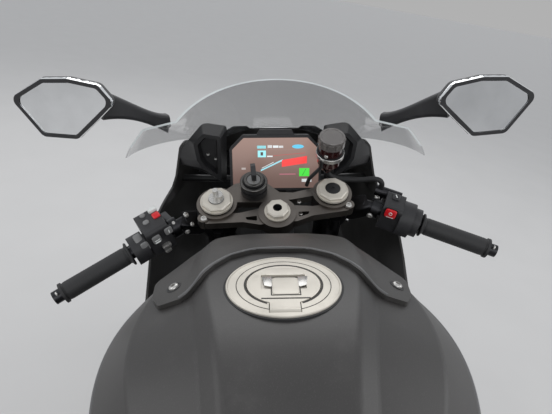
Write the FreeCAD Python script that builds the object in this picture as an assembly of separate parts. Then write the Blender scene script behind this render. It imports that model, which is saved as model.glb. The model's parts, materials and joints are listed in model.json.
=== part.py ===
# Faired sport motorcycle, parked on its side stand with the bars turned a little to the left.
# Every piece is drawn upright and straight ahead in millimetres: X forward, Y to the rider's left,
# Z up, X = 0 at the rear axle and Z = 0 at the ground. Pieces on the fork are drawn in the fork's own
# frame, and place() then steers, leans and pitches each piece to where it stands on the floor.
import FreeCAD, Part
import math
import os

V = FreeCAD.Vector

# Driving dimensions
WHEELBASE = 1441.0
RAKE = 23.1             # steering axis from the vertical, degrees
TRAIL = 94.0
FRONT_R = 300.0         # tyre radii
REAR_R = 320.0
FRONT_TYRE_W = 120.0
REAR_TYRE_W = 190.0
LEAN = 9.0              # on the side stand, degrees to the left
STEER = 6.0             # bars turned left at rest, degrees
LOCK = 22.0             # steering lock to each side from straight ahead
SEAT_Z = 824.0
WALL = 4.0              # bodywork skins
GAP = 0.3               # between pieces that sit on each other
RUN = 6.0               # clearance round whatever turns

# Fork and head
FORK_Y = 105.0          # half the distance between the legs
CLAMP_TOP = 714.0       # top face of the upper clamp, along the steering axis
CLAMP_T = 26.0
LOWER_CLAMP_TOP = 540.0
LOWER_CLAMP_T = 34.0
TUBE_R = 27.0           # outer fork tube
TUBE_END = 385.0        # its lower end
LEG_R = 22.0            # sliding inner tube
AXLE_R = 12.5
HEAD_R = 32.0

sin, cos, tan, rad = math.sin, math.cos, math.tan, math.radians
RAKE_SIN, RAKE_COS = sin(rad(RAKE)), cos(rad(RAKE))
FORK_OFFSET = FRONT_R * RAKE_SIN - TRAIL * RAKE_COS    # axle ahead of the steering axis
FRONT_AXLE = V(WHEELBASE, 0, FRONT_R)
REAR_AXLE = V(0, 0, REAR_R)
FORK_FORWARD = V(RAKE_COS, 0, RAKE_SIN)
FORK_UP = V(-RAKE_SIN, 0, RAKE_COS)
FORK_ORIGIN = FRONT_AXLE - FORK_FORWARD * FORK_OFFSET

MIRROR_PLANE = (V(0, 0, 0), V(0, 1, 0))


# Placements
def turn(about, axis, degrees):
    return FreeCAD.Placement(V(0, 0, 0), FreeCAD.Rotation(axis, degrees), about)


FORK_FRAME = FreeCAD.Placement(FORK_ORIGIN, FreeCAD.Rotation(V(0, 1, 0), -RAKE))
STEERED = turn(FORK_ORIGIN, FORK_UP, STEER)


def torus_low(axle, axis, ring_r, tube_r):
    """Lowest height of a round-crowned tyre whose axle and axis are given."""
    return axle.z - ring_r * math.sqrt(max(0.0, 1 - axis.z ** 2)) - tube_r


def crown_radius(width, height):
    """Radius of the tread arc that spans width and rises height."""
    return (width ** 2 / 4 + height ** 2) / (2 * height)


FRONT_CROWN = 50.0      # height of the tread arc
REAR_CROWN = 72.0
FRONT_CROWN_R = crown_radius(FRONT_TYRE_W, FRONT_CROWN)
REAR_CROWN_R = crown_radius(REAR_TYRE_W, REAR_CROWN)


def stand_placement():
    """Lean, then the pitch that puts both tyres on Z = 0."""
    lean = FreeCAD.Placement(V(0, 0, 0), FreeCAD.Rotation(V(1, 0, 0), -LEAN))
    wheel_axis = STEERED.Rotation.multVec(V(0, 1, 0))
    front = STEERED.multVec(FRONT_AXLE)
    placed = lean
    for _ in range(6):
        zf = torus_low(placed.multVec(front), placed.Rotation.multVec(wheel_axis),
                       FRONT_R - FRONT_CROWN_R, FRONT_CROWN_R)
        zr = torus_low(placed.multVec(REAR_AXLE), placed.Rotation.multVec(V(0, 1, 0)),
                       REAR_R - REAR_CROWN_R, REAR_CROWN_R)
        pitch = FreeCAD.Placement(V(0, 0, -zr), FreeCAD.Rotation(
            V(0, 1, 0), math.degrees(math.atan2(zf - zr, WHEELBASE))))
        placed = pitch.multiply(placed)
    return placed


PARKED = stand_placement()


# Solids
def box(x0, x1, y0, y1, z0, z1):
    return Part.makeBox(x1 - x0, y1 - y0, z1 - z0, V(x0, y0, z0))


def cyl(start, end, r):
    return Part.makeCylinder(r, (end - start).Length, start, end - start)


def tube(start, end, outer, inner):
    return cyl(start, end, outer).cut(cyl(start, end, inner))


def cone(start, end, r0, r1):
    return Part.makeCone(r0, r1, (end - start).Length, start, end - start)


def mirrored(shape):
    return shape.mirror(*MIRROR_PLANE)


def both(shape):
    """The shape and its twin on the other side, as a list."""
    return [shape, mirrored(shape)]


def fuse(shapes):
    first, rest = shapes[0], list(shapes[1:])
    return first.multiFuse(rest).removeSplitter() if rest else first


def cut(shape, tools):
    return shape.cut(Part.makeCompound(list(tools))) if tools else shape


def rounded_wire(points, radius):
    """Closed wire through the points, with a tangent arc at each corner."""
    count = len(points)
    radii = radius if isinstance(radius, (list, tuple)) else [radius] * count
    arcs = []
    for i, corner in enumerate(points):
        to_last = points[i - 1] - corner
        to_next = points[(i + 1) % count] - corner
        half = to_last.getAngle(to_next) / 2
        reach = min(radii[i] / tan(half), 0.45 * min(to_last.Length, to_next.Length))
        to_last.normalize()
        to_next.normalize()
        r = reach * tan(half)
        middle = (to_last + to_next).normalize() * (r / sin(half) - r)
        arcs.append((corner + to_last * reach, corner + middle, corner + to_next * reach))
    edges = []
    for i, arc in enumerate(arcs):
        edges.append(Part.Arc(*arc).toShape())
        edges.append(Part.LineSegment(arc[2], arcs[(i + 1) % count][0]).toShape())
    return Part.Wire(edges)


def polygon(points):
    return Part.makePolygon(list(points) + [points[0]])


def side_plate(points, y0, y1, radius=0.0):
    """Outline (x, z) in side view, between two Y planes."""
    path = [V(x, y0, z) for x, z in points]
    wire = rounded_wire(path, radius) if radius else polygon(path)
    return Part.Face(wire).extrude(V(0, y1 - y0, 0))


def top_plate(points, z0, z1, radius=0.0):
    """Outline (x, y) seen from above, between two heights."""
    path = [V(x, y, z0) for x, y in points]
    wire = rounded_wire(path, radius) if radius else polygon(path)
    return Part.Face(wire).extrude(V(0, 0, z1 - z0))


def front_plate(points, x0, x1, radius=0.0):
    """Outline (y, z) seen from ahead, between two X planes."""
    path = [V(x0, y, z) for y, z in points]
    wire = rounded_wire(path, radius) if radius else polygon(path)
    return Part.Face(wire).extrude(V(x1 - x0, 0, 0))


def section(x, half, radius, inset=0.0):
    """Closed, symmetric section at x from a half outline of (y, z) points, top first, inset inwards."""
    loop = [(y, z) for y, z in half] + [(-y, z) for y, z in reversed(half)]
    if inset:
        loop = inset_loop(loop, inset)
    return rounded_wire([V(x, y, z) for y, z in loop], radius)


def inset_loop(loop, inset):
    """The loop with every side moved inwards by inset."""
    area = sum(a[0] * b[1] - b[0] * a[1] for a, b in zip(loop, loop[1:] + loop[:1]))
    side = 1.0 if area > 0 else -1.0
    moved = []
    for i, (y, z) in enumerate(loop):
        y0, z0 = loop[i - 1]
        y1, z1 = loop[(i + 1) % len(loop)]
        d0, d1 = math.hypot(y - y0, z - z0), math.hypot(y1 - y, z1 - z)
        n0 = (-(z - z0) / d0 * side, (y - y0) / d0 * side)
        n1 = (-(z1 - z) / d1 * side, (y1 - y) / d1 * side)
        scale = inset / (1 + n0[0] * n1[0] + n0[1] * n1[1])
        moved.append((y + (n0[0] + n1[0]) * scale, z + (n0[1] + n1[1]) * scale))
    return moved


def loft(wires, ruled=False):
    return Part.makeLoft(wires, True, ruled)


def half_points(row, start=1):
    """A table row's (y, z) pairs, from column start."""
    return [(row[i], row[i + 1]) for i in range(start, len(row), 2)]


def body_loft(table, radius, inset=0.0, slope_inset=None):
    """Loft of symmetric sections from a table of x and (y, z) pairs; slope_inset moves stations in x."""
    wires = []
    for row in table:
        x = row[0] - (slope_inset(row[0]) * inset if slope_inset and inset else 0.0)
        wires.append(section(x, half_points(row), radius, inset))
    return loft(wires)


def pipe(points, r, bend):
    """Round bar along straight runs joined by tangent arcs."""
    path = bent_path(points, bend)
    start = path.Edges[0]
    ring = Part.Wire(Part.makeCircle(r, points[0], start.tangentAt(start.FirstParameter)))
    return path.makePipeShell([ring], True, True)


def bent_path(points, bend):
    edges, last = [], points[0]
    for i in range(1, len(points) - 1):
        corner = points[i]
        u, v = points[i - 1] - corner, points[i + 1] - corner
        half = u.getAngle(v) / 2
        reach = min(bend / tan(half), 0.45 * min(u.Length, v.Length))
        u.normalize()
        v.normalize()
        r = reach * tan(half)
        a, b = corner + u * reach, corner + v * reach
        m = corner + (u + v).normalize() * (r / sin(half) - r)
        edges += [Part.LineSegment(last, a).toShape(), Part.Arc(a, m, b).toShape()]
        last = b
    edges.append(Part.LineSegment(last, points[-1]).toShape())
    return Part.Wire(edges)


def revolve_y(profile, axle, degrees=360.0, start=0.0):
    """Profile of (radius, y) points turned about a wheel's axle, from start, counted from straight up."""
    wire = polygon([V(axle.x, axle.y + y, axle.z + r) for r, y in profile])
    face = Part.Face(wire)
    face.rotate(axle, V(0, 1, 0), start)
    return face.revolve(axle, V(0, 1, 0), degrees)


def around_y(shape, axle, count, first=0.0):
    """Copies of a shape spaced evenly about a wheel's axle."""
    copies = []
    for i in range(count):
        copy = shape.copy()
        copy.rotate(axle, V(0, 1, 0), first + 360.0 * i / count)
        copies.append(copy)
    return copies


# Wheels
RIM_R = 216.0
RIM_FLANGE_R = 226.0
RIM_WELL_R = 200.0
BEAD_SHARE = 0.86       # rim width over tyre width


def tyre(axle, width, outer_r, crown):
    """Round-crowned tyre whose beads sit inside the rim's flanges, hollow over the rim well."""
    edge = outer_r - crown
    half = width / 2
    foot = RIM_R + GAP
    bead = half * BEAD_SHARE - GAP
    lip = bead - 13

    def at(r, y):
        return axle + V(0, y, r)

    def side(s):
        return [at(foot, s * bead), at(RIM_FLANGE_R + GAP, s * bead), at(edge - 8, s * half * 0.99),
                at(edge, s * half)]

    left, right = side(1), side(-1)
    edges = [Part.Arc(right[3], at(outer_r, 0), left[3]).toShape()]
    edges += [Part.LineSegment(a, b).toShape() for a, b in zip(left[::-1], left[::-1][1:])]
    edges.append(Part.LineSegment(left[0], at(foot, lip)).toShape())
    edges.append(Part.Arc(at(foot, lip), at(outer_r - 12, 0), at(foot, -lip)).toShape())
    edges.append(Part.LineSegment(at(foot, -lip), right[0]).toShape())
    edges += [Part.LineSegment(a, b).toShape() for a, b in zip(right, right[1:])]
    return Part.Face(Part.Wire(edges)).revolve(axle, V(0, 1, 0), 360)


def wheel(axle, width, spokes, hub_r, hub_half, bore_r):
    """Cast wheel: a rim with flanges and a well, twin spokes that fork towards the rim, and a hub."""
    half = width / 2 * BEAD_SHARE
    profile = [(RIM_FLANGE_R, half + 5), (RIM_FLANGE_R, half + 1), (RIM_R, half), (RIM_R, half - 14),
               (RIM_WELL_R, half - 26), (RIM_WELL_R, -half + 26), (RIM_R, -half + 14), (RIM_R, -half),
               (RIM_FLANGE_R, -half - 1), (RIM_FLANGE_R, -half - 5), (RIM_R - 8, -half - 5),
               (RIM_WELL_R - 7, -half + 20), (RIM_WELL_R - 7, half - 20), (RIM_R - 8, half + 5)]
    rim = revolve_y(profile, axle)
    hub = cyl(axle - V(0, hub_half, 0), axle + V(0, hub_half, 0), hub_r)
    waist = revolve_y([(hub_r - 1, -hub_half * 0.9), (hub_r + 14, -9), (hub_r + 14, 9),
                       (hub_r - 1, hub_half * 0.9)], axle)
    arms = []
    for i in range(spokes):
        for side in (-1, 1):
            arm = spoke(axle, hub_r, side)
            arm.rotate(axle, V(0, 1, 0), 360.0 * i / spokes)
            arms.append(arm)
    body = fuse([rim, hub, waist] + arms)
    return body.cut(cyl(axle - V(0, hub_half + 1, 0), axle + V(0, hub_half + 1, 0), bore_r))


def spoke(axle, hub_r, side):
    """One tapered arm from the hub to the rim, leaning to one side."""
    inner = [V(axle.x + side * 13 + dx, axle.y + dy, axle.z + hub_r - 2)
             for dx, dy in ((-11, -15), (11, -15), (11, 15), (-11, 15))]
    outer = [V(axle.x + side * 34 + dx, axle.y + dy, axle.z + RIM_WELL_R - 4)
             for dx, dy in ((-7, -11), (7, -11), (7, 11), (-7, 11))]
    return loft([rounded_wire(inner, 5), rounded_wire(outer, 4)])


DISC_R = 160.0
DISC_T = 5.0
DISC_Y = 68.0
REAR_DISC_R = 110.0
REAR_DISC_Y = -74.0


def disc(axle, y, outer_r, inner_r, carrier_r, hub_r, lobes):
    """Brake disc: a drilled ring, and a carrier of arms from its hub to the ring."""
    centre = axle + V(0, y, 0)
    side = V(0, DISC_T / 2, 0)
    ring = tube(centre - side, centre + side, outer_r, inner_r)
    holes = []
    for row, r in enumerate((inner_r + 9, (inner_r + outer_r) / 2, outer_r - 9)):
        hole = cyl(centre + V(0, -DISC_T, r), centre + V(0, DISC_T, r), 3.0)
        holes += around_y(hole, centre, 18, row * 7.0)
    ring = cut(ring, holes)
    carrier = tube(centre - side * 0.8, centre + side * 0.8, carrier_r, hub_r)
    arm = Part.Face(polygon([centre + V(-9, -2, carrier_r - 3), centre + V(9, -2, carrier_r - 3),
                             centre + V(6, -2, inner_r + 3), centre + V(-6, -2, inner_r + 3)]))
    arms = around_y(arm.extrude(V(0, 4, 0)), centre, lobes)
    return fuse([ring, carrier] + arms)


SPROCKET_TEETH = 45
CHAIN_PITCH = 15.875
CHAIN_Y = 113.0
FRONT_TEETH = 17


def pitch_radius(teeth):
    return CHAIN_PITCH / (2 * sin(math.pi / teeth))


ROLLER_R = 5.1
DRIVE = V(684.0, CHAIN_Y, 388.0)     # gearbox sprocket centre


def sprocket(centre, teeth, bore_r, windows, thickness=6.0):
    """Sprocket whose teeth stop just inside the chain's rollers, with round windows in its web."""
    tip = pitch_radius(teeth) - ROLLER_R - 0.8
    root = tip - 5.0
    points = []
    for i in range(teeth):
        a = 2 * math.pi * i / teeth
        half = math.pi / teeth
        for turned, r in ((-0.62 * half, root), (-0.26 * half, tip), (0.26 * half, tip), (0.62 * half, root)):
            points.append(V(centre.x + r * sin(a + turned), centre.y - thickness / 2,
                            centre.z + r * cos(a + turned)))
    plate = Part.Face(polygon(points)).extrude(V(0, thickness, 0))
    cuts = [cyl(centre - V(0, thickness, 0), centre + V(0, thickness, 0), bore_r)]
    if windows:
        r = (root + bore_r) / 2
        hole = cyl(centre + V(0, -thickness, r), centre + V(0, thickness, r), (root - bore_r) * 0.27)
        cuts += around_y(hole, centre, windows)
    return cut(plate, cuts)


def front_wheel_parts():
    tyre_shape = tyre(FRONT_AXLE, FRONT_TYRE_W, FRONT_R, FRONT_CROWN)
    rim = wheel(FRONT_AXLE, FRONT_TYRE_W, 5, 34, 52, AXLE_R + GAP)
    discs = [disc(FRONT_AXLE, y, DISC_R, 122, 46, 30, 10) for y in (DISC_Y, -DISC_Y)]
    bosses = [tube(FRONT_AXLE + V(0, s * 52, 0), FRONT_AXLE + V(0, s * (DISC_Y + 12), 0), 29.6, AXLE_R + GAP)
              for s in (1, -1)]
    return {"front_tyre": [tyre_shape], "front_rim": [fuse([rim] + bosses)], "front_discs": discs}


def rear_wheel_parts():
    tyre_shape = tyre(REAR_AXLE, REAR_TYRE_W, REAR_R, REAR_CROWN)
    rim = wheel(REAR_AXLE, REAR_TYRE_W, 5, 44, 62, REAR_AXLE_R + GAP)
    carrier = revolve_y([(64, 60), (74, 72), (74, 100), (50, CHAIN_Y - 3 - GAP), (30, CHAIN_Y - 3 - GAP),
                         (30, 60)], REAR_AXLE)
    right_boss = tube(REAR_AXLE - V(0, 62, 0), REAR_AXLE - V(0, 84, 0), 29.6, REAR_AXLE_R + GAP)
    centre = REAR_AXLE + V(0, CHAIN_Y, 0)
    return {"rear_tyre": [tyre_shape],
            "rear_rim": [fuse([rim, carrier, right_boss])],
            "rear_disc": [disc(REAR_AXLE, REAR_DISC_Y, REAR_DISC_R, 78, 42, 30, 8)],
            "rear_sprocket": [sprocket(centre, SPROCKET_TEETH, 40, 6)]}


REAR_AXLE_R = 14.0


# Fork, in the fork's frame: X forward, Y left, Z up the steering axis
CAP_R = 29.0
CAP_TOP = CLAMP_TOP + 12.0
STEM_R = 15.0


def octagon(centre, across, height, bevel=2.0):
    """Eight-sided nut with a bevelled top edge."""
    r = across / 2 / cos(math.pi / 8)
    rings = []
    for z, radius in ((0, r), (height - bevel, r), (height, r - bevel)):
        rings.append(polygon([centre + V(radius * cos(math.pi * (k + 0.5) / 4),
                                         radius * sin(math.pi * (k + 0.5) / 4), z) for k in range(8)]))
    return loft(rings[:2], True).fuse(loft(rings[1:], True))


CLAMP_FRONT = [(60, 92), (76, 70), (80, 40), (76, 14), (60, 2), (46, -10), (42, -34), (50, -78), (46, -100),
               (20, -100), (30, -68), (26, -30), (26, 30), (31, 68), (14, 98)]
CLAMP_REAR = [(9, 128), (8, 66), (14, 30), (14, -30), (8, -66), (9, -128), (-9, -128), (-13, -62), (-22, -33),
              (-22, 33), (-13, 62), (-9, 128)]
CLAMP_WINDOW = [(-2, 37), (-3, 58), (-9, 54), (-13, 37)]
CLAMP_LUG = V(3, 130, 0)             # screwed lug behind each fork eye


def upper_clamp():
    """Truss-like top clamp: fork eyes, a stem eye, and slim front and rear arms with windows between them."""
    z0, z1 = CLAMP_TOP - CLAMP_T, CLAMP_TOP
    eye_r = TUBE_R + 9
    body = [top_plate(CLAMP_FRONT, z0 + 8, z1 - 3, 3), top_plate(CLAMP_REAR, z0 + 5, z1 - 5, 3),
            cyl(V(0, 0, z0), V(0, 0, z1 - 2), 34)]
    cuts = [cyl(V(0, 0, z0 - 1), V(0, 0, z1 + 1), STEM_R + GAP)]
    for s in (1, -1):
        eye = V(FORK_OFFSET, s * FORK_Y, 0)
        lug = V(CLAMP_LUG.x, s * CLAMP_LUG.y, 0)
        body.append(cyl(eye + V(0, 0, z0), eye + V(0, 0, z1), eye_r))
        body.append(cyl(lug + V(0, 0, z0 + 3), lug + V(0, 0, z1 - 3), 10))
        cuts.append(cyl(eye + V(0, 0, z0 - 1), eye + V(0, 0, z1 + 1), TUBE_R + GAP))
        cuts.append(top_plate([(x, s * y) for x, y in CLAMP_WINDOW], z0 - 1, z1 + 1, 2))
    return cut(fuse(body), cuts)


def lower_clamp():
    """Lower clamp with the stem, bored below for a front stand's pin."""
    z0, z1 = LOWER_CLAMP_TOP - LOWER_CLAMP_T, LOWER_CLAMP_TOP
    outline = [(FORK_OFFSET + 36, FORK_Y + 6), (FORK_OFFSET + 24, 30), (FORK_OFFSET + 24, -30),
               (FORK_OFFSET + 36, -FORK_Y - 6), (FORK_OFFSET - 34, -FORK_Y - 12), (-38, -34), (-38, 34),
               (FORK_OFFSET - 34, FORK_Y + 12)]
    body = [top_plate(outline, z0, z1, 14)]
    for s in (1, -1):
        body.append(cyl(V(FORK_OFFSET, s * FORK_Y, z0), V(FORK_OFFSET, s * FORK_Y, z1), TUBE_R + 11))
    body.append(cyl(V(0, 0, z0 - 6), V(0, 0, CLAMP_TOP - 2), STEM_R))
    shape = fuse(body)
    cuts = [cyl(V(FORK_OFFSET, s * FORK_Y, z0 - 1), V(FORK_OFFSET, s * FORK_Y, z1 + 1), TUBE_R + GAP)
            for s in (1, -1)]
    cuts.append(cyl(V(0, 0, z0 - 7), V(0, 0, z0 - 7 + STAND_PIN_DEPTH + 1), STAND_PIN_R))
    return cut(shape, cuts)


STAND_PIN_R = 7.5
STAND_PIN_DEPTH = 45.0


def fork_tubes():
    """Outer tubes, held in both clamps, with a ring at the lower end."""
    shapes = []
    for s in (1, -1):
        foot = V(FORK_OFFSET, s * FORK_Y, TUBE_END)
        top = V(FORK_OFFSET, s * FORK_Y, CLAMP_TOP + 2)
        body = fuse([cyl(foot, top, TUBE_R), cyl(foot, foot + V(0, 0, 26), TUBE_R + 2.5)])
        shapes.append(body.cut(cyl(foot - V(0, 0, 1), foot + V(0, 0, 60), LEG_R + GAP)))
    return shapes


def fork_caps():
    """Bright fork caps with an eight-sided key, the left one with its adjuster post."""
    shapes = []
    for s in (1, -1):
        base = V(FORK_OFFSET, s * FORK_Y, CLAMP_TOP + 2 + GAP)
        flange = cyl(base, base + V(0, 0, 4), CAP_R)
        nut = octagon(base + V(0, 0, 4), 2 * CAP_R - 7, CAP_TOP - CLAMP_TOP - 6)
        body = fuse([flange, nut])
        well = cyl(base + V(0, 0, 6), base + V(0, 0, 20), 14)
        shapes.append(body.cut(well))
    return shapes


def fork_adjusters():
    shapes = []
    for s in (1, -1):
        base = V(FORK_OFFSET, s * FORK_Y, CLAMP_TOP + 2 + 6 + 2 * GAP)
        disc_part = cyl(base, base + V(0, 0, 6 if s > 0 else 3), 13.5)
        if s > 0:
            post = cyl(base + V(2, 0, 5), base + V(2, 0, 24), 5.0)
            knob = cyl(base + V(0, -4, 5), base + V(0, -4, 15), 8.5)
            disc_part = fuse([disc_part, post, knob])
        else:
            disc_part = disc_part.cut(cyl(base + V(0, 0, 1.5), base + V(0, 0, 9), 3.5))
        shapes.append(disc_part)
    return shapes


def stem_nut():
    base = V(0, 0, CLAMP_TOP - 2 + GAP)
    washer = cyl(base, base + V(0, 0, 3), 23)
    nut = octagon(base + V(0, 0, 3), 38, 9)
    return fuse([washer, nut]).cut(cyl(base - V(0, 0, 1), base + V(0, 0, 20), 8))


CARRIER_TOP = 92.0


def fork_legs():
    """Inner tubes with axle carriers and the lugs that take the calipers and the mudguard."""
    shapes = []
    for s in (1, -1):
        x, y = FORK_OFFSET, s * FORK_Y
        leg = cyl(V(x, y, CARRIER_TOP - 10), V(x, y, TUBE_END + 50), LEG_R)
        carrier = cone(V(x, y, 8), V(x, y, CARRIER_TOP), 23, 26)
        eye = cyl(V(x, s * (FORK_Y - 22), 0), V(x, s * (FORK_Y + 20), 0), 25)
        lug = box(x - 58, x - 6, y - 9, y + 9, 24, 88)
        body = fuse([leg, carrier, eye, lug])
        shapes.append(body.cut(cyl(V(x, y - 60, 0), V(x, y + 60, 0), AXLE_R + GAP)))
    return shapes


def front_axle():
    y = FORK_Y + 24
    body = fuse([cyl(V(FORK_OFFSET, -y, 0), V(FORK_OFFSET, y, 0), AXLE_R),
                 cyl(V(FORK_OFFSET, -y - 5, 0), V(FORK_OFFSET, -y, 0), 19)])
    return body.cut(cyl(V(FORK_OFFSET, -y - 6, 0), V(FORK_OFFSET, y + 1, 0), AXLE_BORE_R))


AXLE_BORE_R = 8.5


def calipers():
    """Four-piston calipers straddling the discs behind the legs, bolted to the carrier lugs."""
    shapes = []
    for s in (1, -1):
        centre = V(FORK_OFFSET - 88, 0, 92)
        inner, outer = DISC_Y - 26, DISC_Y + 27
        outline = [(centre.x - 34, centre.z - 50), (centre.x - 46, centre.z + 8),
                   (centre.x - 18, centre.z + 52),
                   (centre.x + 22, centre.z + 40), (centre.x + 26, centre.z - 44)]
        y0, y1 = sorted((s * inner, s * outer))
        body = side_plate(outline, y0, y1, 12)
        slot = cyl(V(FORK_OFFSET, s * DISC_Y - DISC_T / 2 - 2.5, 0),
                   V(FORK_OFFSET, s * DISC_Y + DISC_T / 2 + 2.5, 0), DISC_R + 3)
        body = body.cut(slot)
        pots = []
        for dz in (-20, 18):
            at = V(centre.x - 8, 0, centre.z + dz)
            far = outer + 7
            pots.append(cyl(at + V(0, s * (outer - 2), 0), at + V(0, s * far, 0), 15))
        foot = box(centre.x + 14, FORK_OFFSET - 58, *sorted((s * (DISC_Y + 12), s * (FORK_Y + 8))),
                   34, 80)
        shapes.append(fuse([body] + pots + [foot]))
    return shapes


def front_mudguard():
    """Curved guard over the tyre, with arms to both legs."""
    r = FRONT_R + 12
    half = FRONT_TYRE_W / 2 + 9
    axle = V(FORK_OFFSET, 0, 0)
    drop = 60.0

    def arc_edges(inset):
        top, edge, side = r - inset, r - drop, half - inset
        return [axle + V(0, side, edge), axle + V(0, 0, top + 3), axle + V(0, -side, edge)]

    outer, inner = arc_edges(-3), arc_edges(0)
    wire = Part.Wire([Part.Arc(*outer).toShape(), Part.LineSegment(outer[2], inner[2]).toShape(),
                      Part.Arc(inner[2], inner[1], inner[0]).toShape(),
                      Part.LineSegment(inner[0], outer[0]).toShape()])
    face = Part.Face(wire)
    face.rotate(axle, V(0, 1, 0), -72 + RAKE)
    shell = face.revolve(axle, V(0, 1, 0), 128)
    arms = []
    for s in (1, -1):
        y0, y1 = sorted((s * (half - 4), s * (FORK_Y - LEG_R - GAP)))
        arms.append(side_plate([(FORK_OFFSET - 34, 272), (FORK_OFFSET + 34, 276), (FORK_OFFSET + 26, 205),
                                (FORK_OFFSET - 24, 200)], y0, y1, 8))
    return fuse([shell] + arms)


# Bars, in the fork's frame
BAR_R = 11.0
GRIP_R = 16.0
GRIP_INNER = V(-37, 255, 684)
GRIP_END = V(-104, 373, 675)
CLIP_TOP = CLAMP_TOP - CLAMP_T - 1.0
CLIP_T = 32.0


def bar_axis():
    return (GRIP_END - GRIP_INNER).normalize()


def on_bar(distance):
    """Point along the bar's axis, from the grip's inner end outwards."""
    return GRIP_INNER + bar_axis() * distance


def clip_ons():
    """Ring clamps under the top clamp, each with a rising arm and a bar tube."""
    eye = V(FORK_OFFSET, FORK_Y, 0)
    foot = CLIP_TOP - CLIP_T
    ring = cyl(eye + V(0, 0, foot), eye + V(0, 0, CLIP_TOP), TUBE_R + 9)
    root = on_bar(PERCH[0] - 10)
    rows = [(eye.x, eye.y + 24, foot, foot + 29, 20), (eye.x - 6, eye.y + 38, foot, foot + 30, 20),
            (root.x, root.y, root.z - 15, root.z + 15, 17)]
    wires = [rounded_wire([V(x - w, y, z0), V(x + w, y, z0), V(x + w, y, z1), V(x - w, y, z1)], 6)
             for x, y, z0, z1, w in rows]
    bar = cyl(root - bar_axis() * 6, GRIP_END, BAR_R)
    lug = cyl(eye + V(-38, 2, foot + 2), eye + V(-38, 2, CLIP_TOP - 2), 9)
    ear = box(eye.x - 40, eye.x - 20, eye.y - 8, eye.y + 12, foot + 3, CLIP_TOP - 3)
    body = fuse([ring, loft(wires, True), bar, lug, ear])
    return both(body.cut(cyl(eye + V(0, 0, foot - 9), eye + V(0, 0, CLIP_TOP + 9), TUBE_R + GAP)))


def grips():
    """Ribbed rubber grips with an inner flange."""
    inner, outer = on_bar(2), on_bar(122)
    body = fuse([cyl(inner, outer, GRIP_R), cyl(inner, on_bar(7), GRIP_R + 6),
                 cyl(on_bar(117), outer, GRIP_R + 2)])
    body = body.cut(cyl(on_bar(0), on_bar(130), BAR_R + GAP))
    return both(body)


def bar_ends():
    start, end = on_bar(123), on_bar(155)
    body = fuse([cyl(start, end, 15), cyl(on_bar(126), on_bar(130), 15.6), cyl(on_bar(150), end, 13)])
    body = body.cut(cyl(on_bar(120), on_bar((GRIP_END - GRIP_INNER).Length + GAP), BAR_R + GAP))
    return both(body)


def bar_block(start, end, size, roll, radius=7.0, shift=(0, 0)):
    """Rounded block round the bar between two distances; size is across and up, rolled forward."""
    axis = bar_axis()
    forward = axis.cross(V(0, 0, 1)).normalize()
    up = forward.cross(axis).normalize()
    turn_by = FreeCAD.Rotation(axis, roll)
    forward, up = turn_by.multVec(forward), turn_by.multVec(up)
    wires = []
    for distance in (start, end):
        centre = on_bar(distance) + forward * shift[0] + up * shift[1]
        corners = [centre + forward * (a * size[0] / 2) + up * (b * size[1] / 2)
                   for a, b in ((-1, -1), (1, -1), (1, 1), (-1, 1))]
        wires.append(rounded_wire(corners, radius))
    return loft(wires)


def left_switches():
    """Left switch cube, a control ring beside the grip, rockers and a button."""
    bore = cyl(on_bar(-90), on_bar(10), BAR_R + GAP)
    cube = bar_block(PERCH[1] + 5, -31, (60, 58), 10, shift=(9, 7))
    ring = cyl(on_bar(-28), on_bar(-2), 26)
    neck = cyl(on_bar(-32), on_bar(-27), 20)
    return fuse([cube, neck, ring]).cut(bore)


def right_switches():
    """Right switch housing with the round throttle drum beside the grip."""
    bore = mirrored(cyl(on_bar(-90), on_bar(10), BAR_R + GAP))
    cube = mirrored(bar_block(PERCH[1] + 5, -37, (50, 56), 8, shift=(2, 3)))
    drum = mirrored(cyl(on_bar(-38), on_bar(-15), 32))
    lip = mirrored(cyl(on_bar(-16), on_bar(-2), 26))
    return fuse([cube, drum, lip]).cut(bore)


PERCH = (-90.0, -76.0)      # the perch's clamp, in distances along the bar
LEVER_REACH = 44.0          # forward of the bar, and below it
LEVER_DROP = 52.0


def lever_frame():
    """Axis of the bar, the level direction forward of it, and the lever's pivot under the perch."""
    axis = bar_axis()
    forward = axis.cross(V(0, 0, 1)).normalize()
    return axis, forward, on_bar(sum(PERCH) / 2) + forward * 40 - V(0, 0, 30)


def levers():
    """Hand levers, slanted down ahead of the grips, with round ends."""
    axis, forward, pivot = lever_frame()
    points = [pivot, on_bar(-40) + forward * 46 - V(0, 0, 42),
              on_bar(50) + forward * LEVER_REACH - V(0, 0, LEVER_DROP),
              on_bar(128) + forward * LEVER_REACH - V(0, 0, LEVER_DROP + 2)]
    hub = cyl(pivot - V(0, 0, 7), pivot + V(0, 0, 7), 11)
    return both(fuse([pipe(points, 6.0, 40), Part.makeSphere(9.0, points[-1]), hub]))


def perches():
    """Lever perches round the bars; the right one carries the front brake's master cylinder."""
    axis, forward, pivot = lever_frame()
    middle = on_bar(sum(PERCH) / 2)
    clamp = cyl(on_bar(PERCH[0]), on_bar(PERCH[1]), 18).cut(cyl(on_bar(-99), on_bar(-40), BAR_R + GAP))

    def wire(centre, half_wide, half_z):
        return rounded_wire([centre + axis * (a * half_wide) + V(0, 0, b * half_z)
                             for a, b in ((-1, -1), (1, -1), (1, 1), (-1, 1))], 3)

    arm = loft([wire(middle + forward * 14, 6, 9), wire(middle + forward * 53 - V(0, 0, 27), 7, 15)])
    slot = cyl(pivot - V(0, 0, 7 + GAP), pivot + V(0, 0, 7 + GAP), 13)
    way = box_at(pivot + axis * 14 - V(0, 0, 3), 34, 26, 20 + 2 * GAP)
    left = cut(fuse([clamp, arm]), [slot, way])
    pump = cyl(on_bar(PERCH[0] - 4) + forward * 45, on_bar(-44) + forward * 45, 11)
    return [left, fuse([mirrored(left), mirrored(pump)])]


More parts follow.
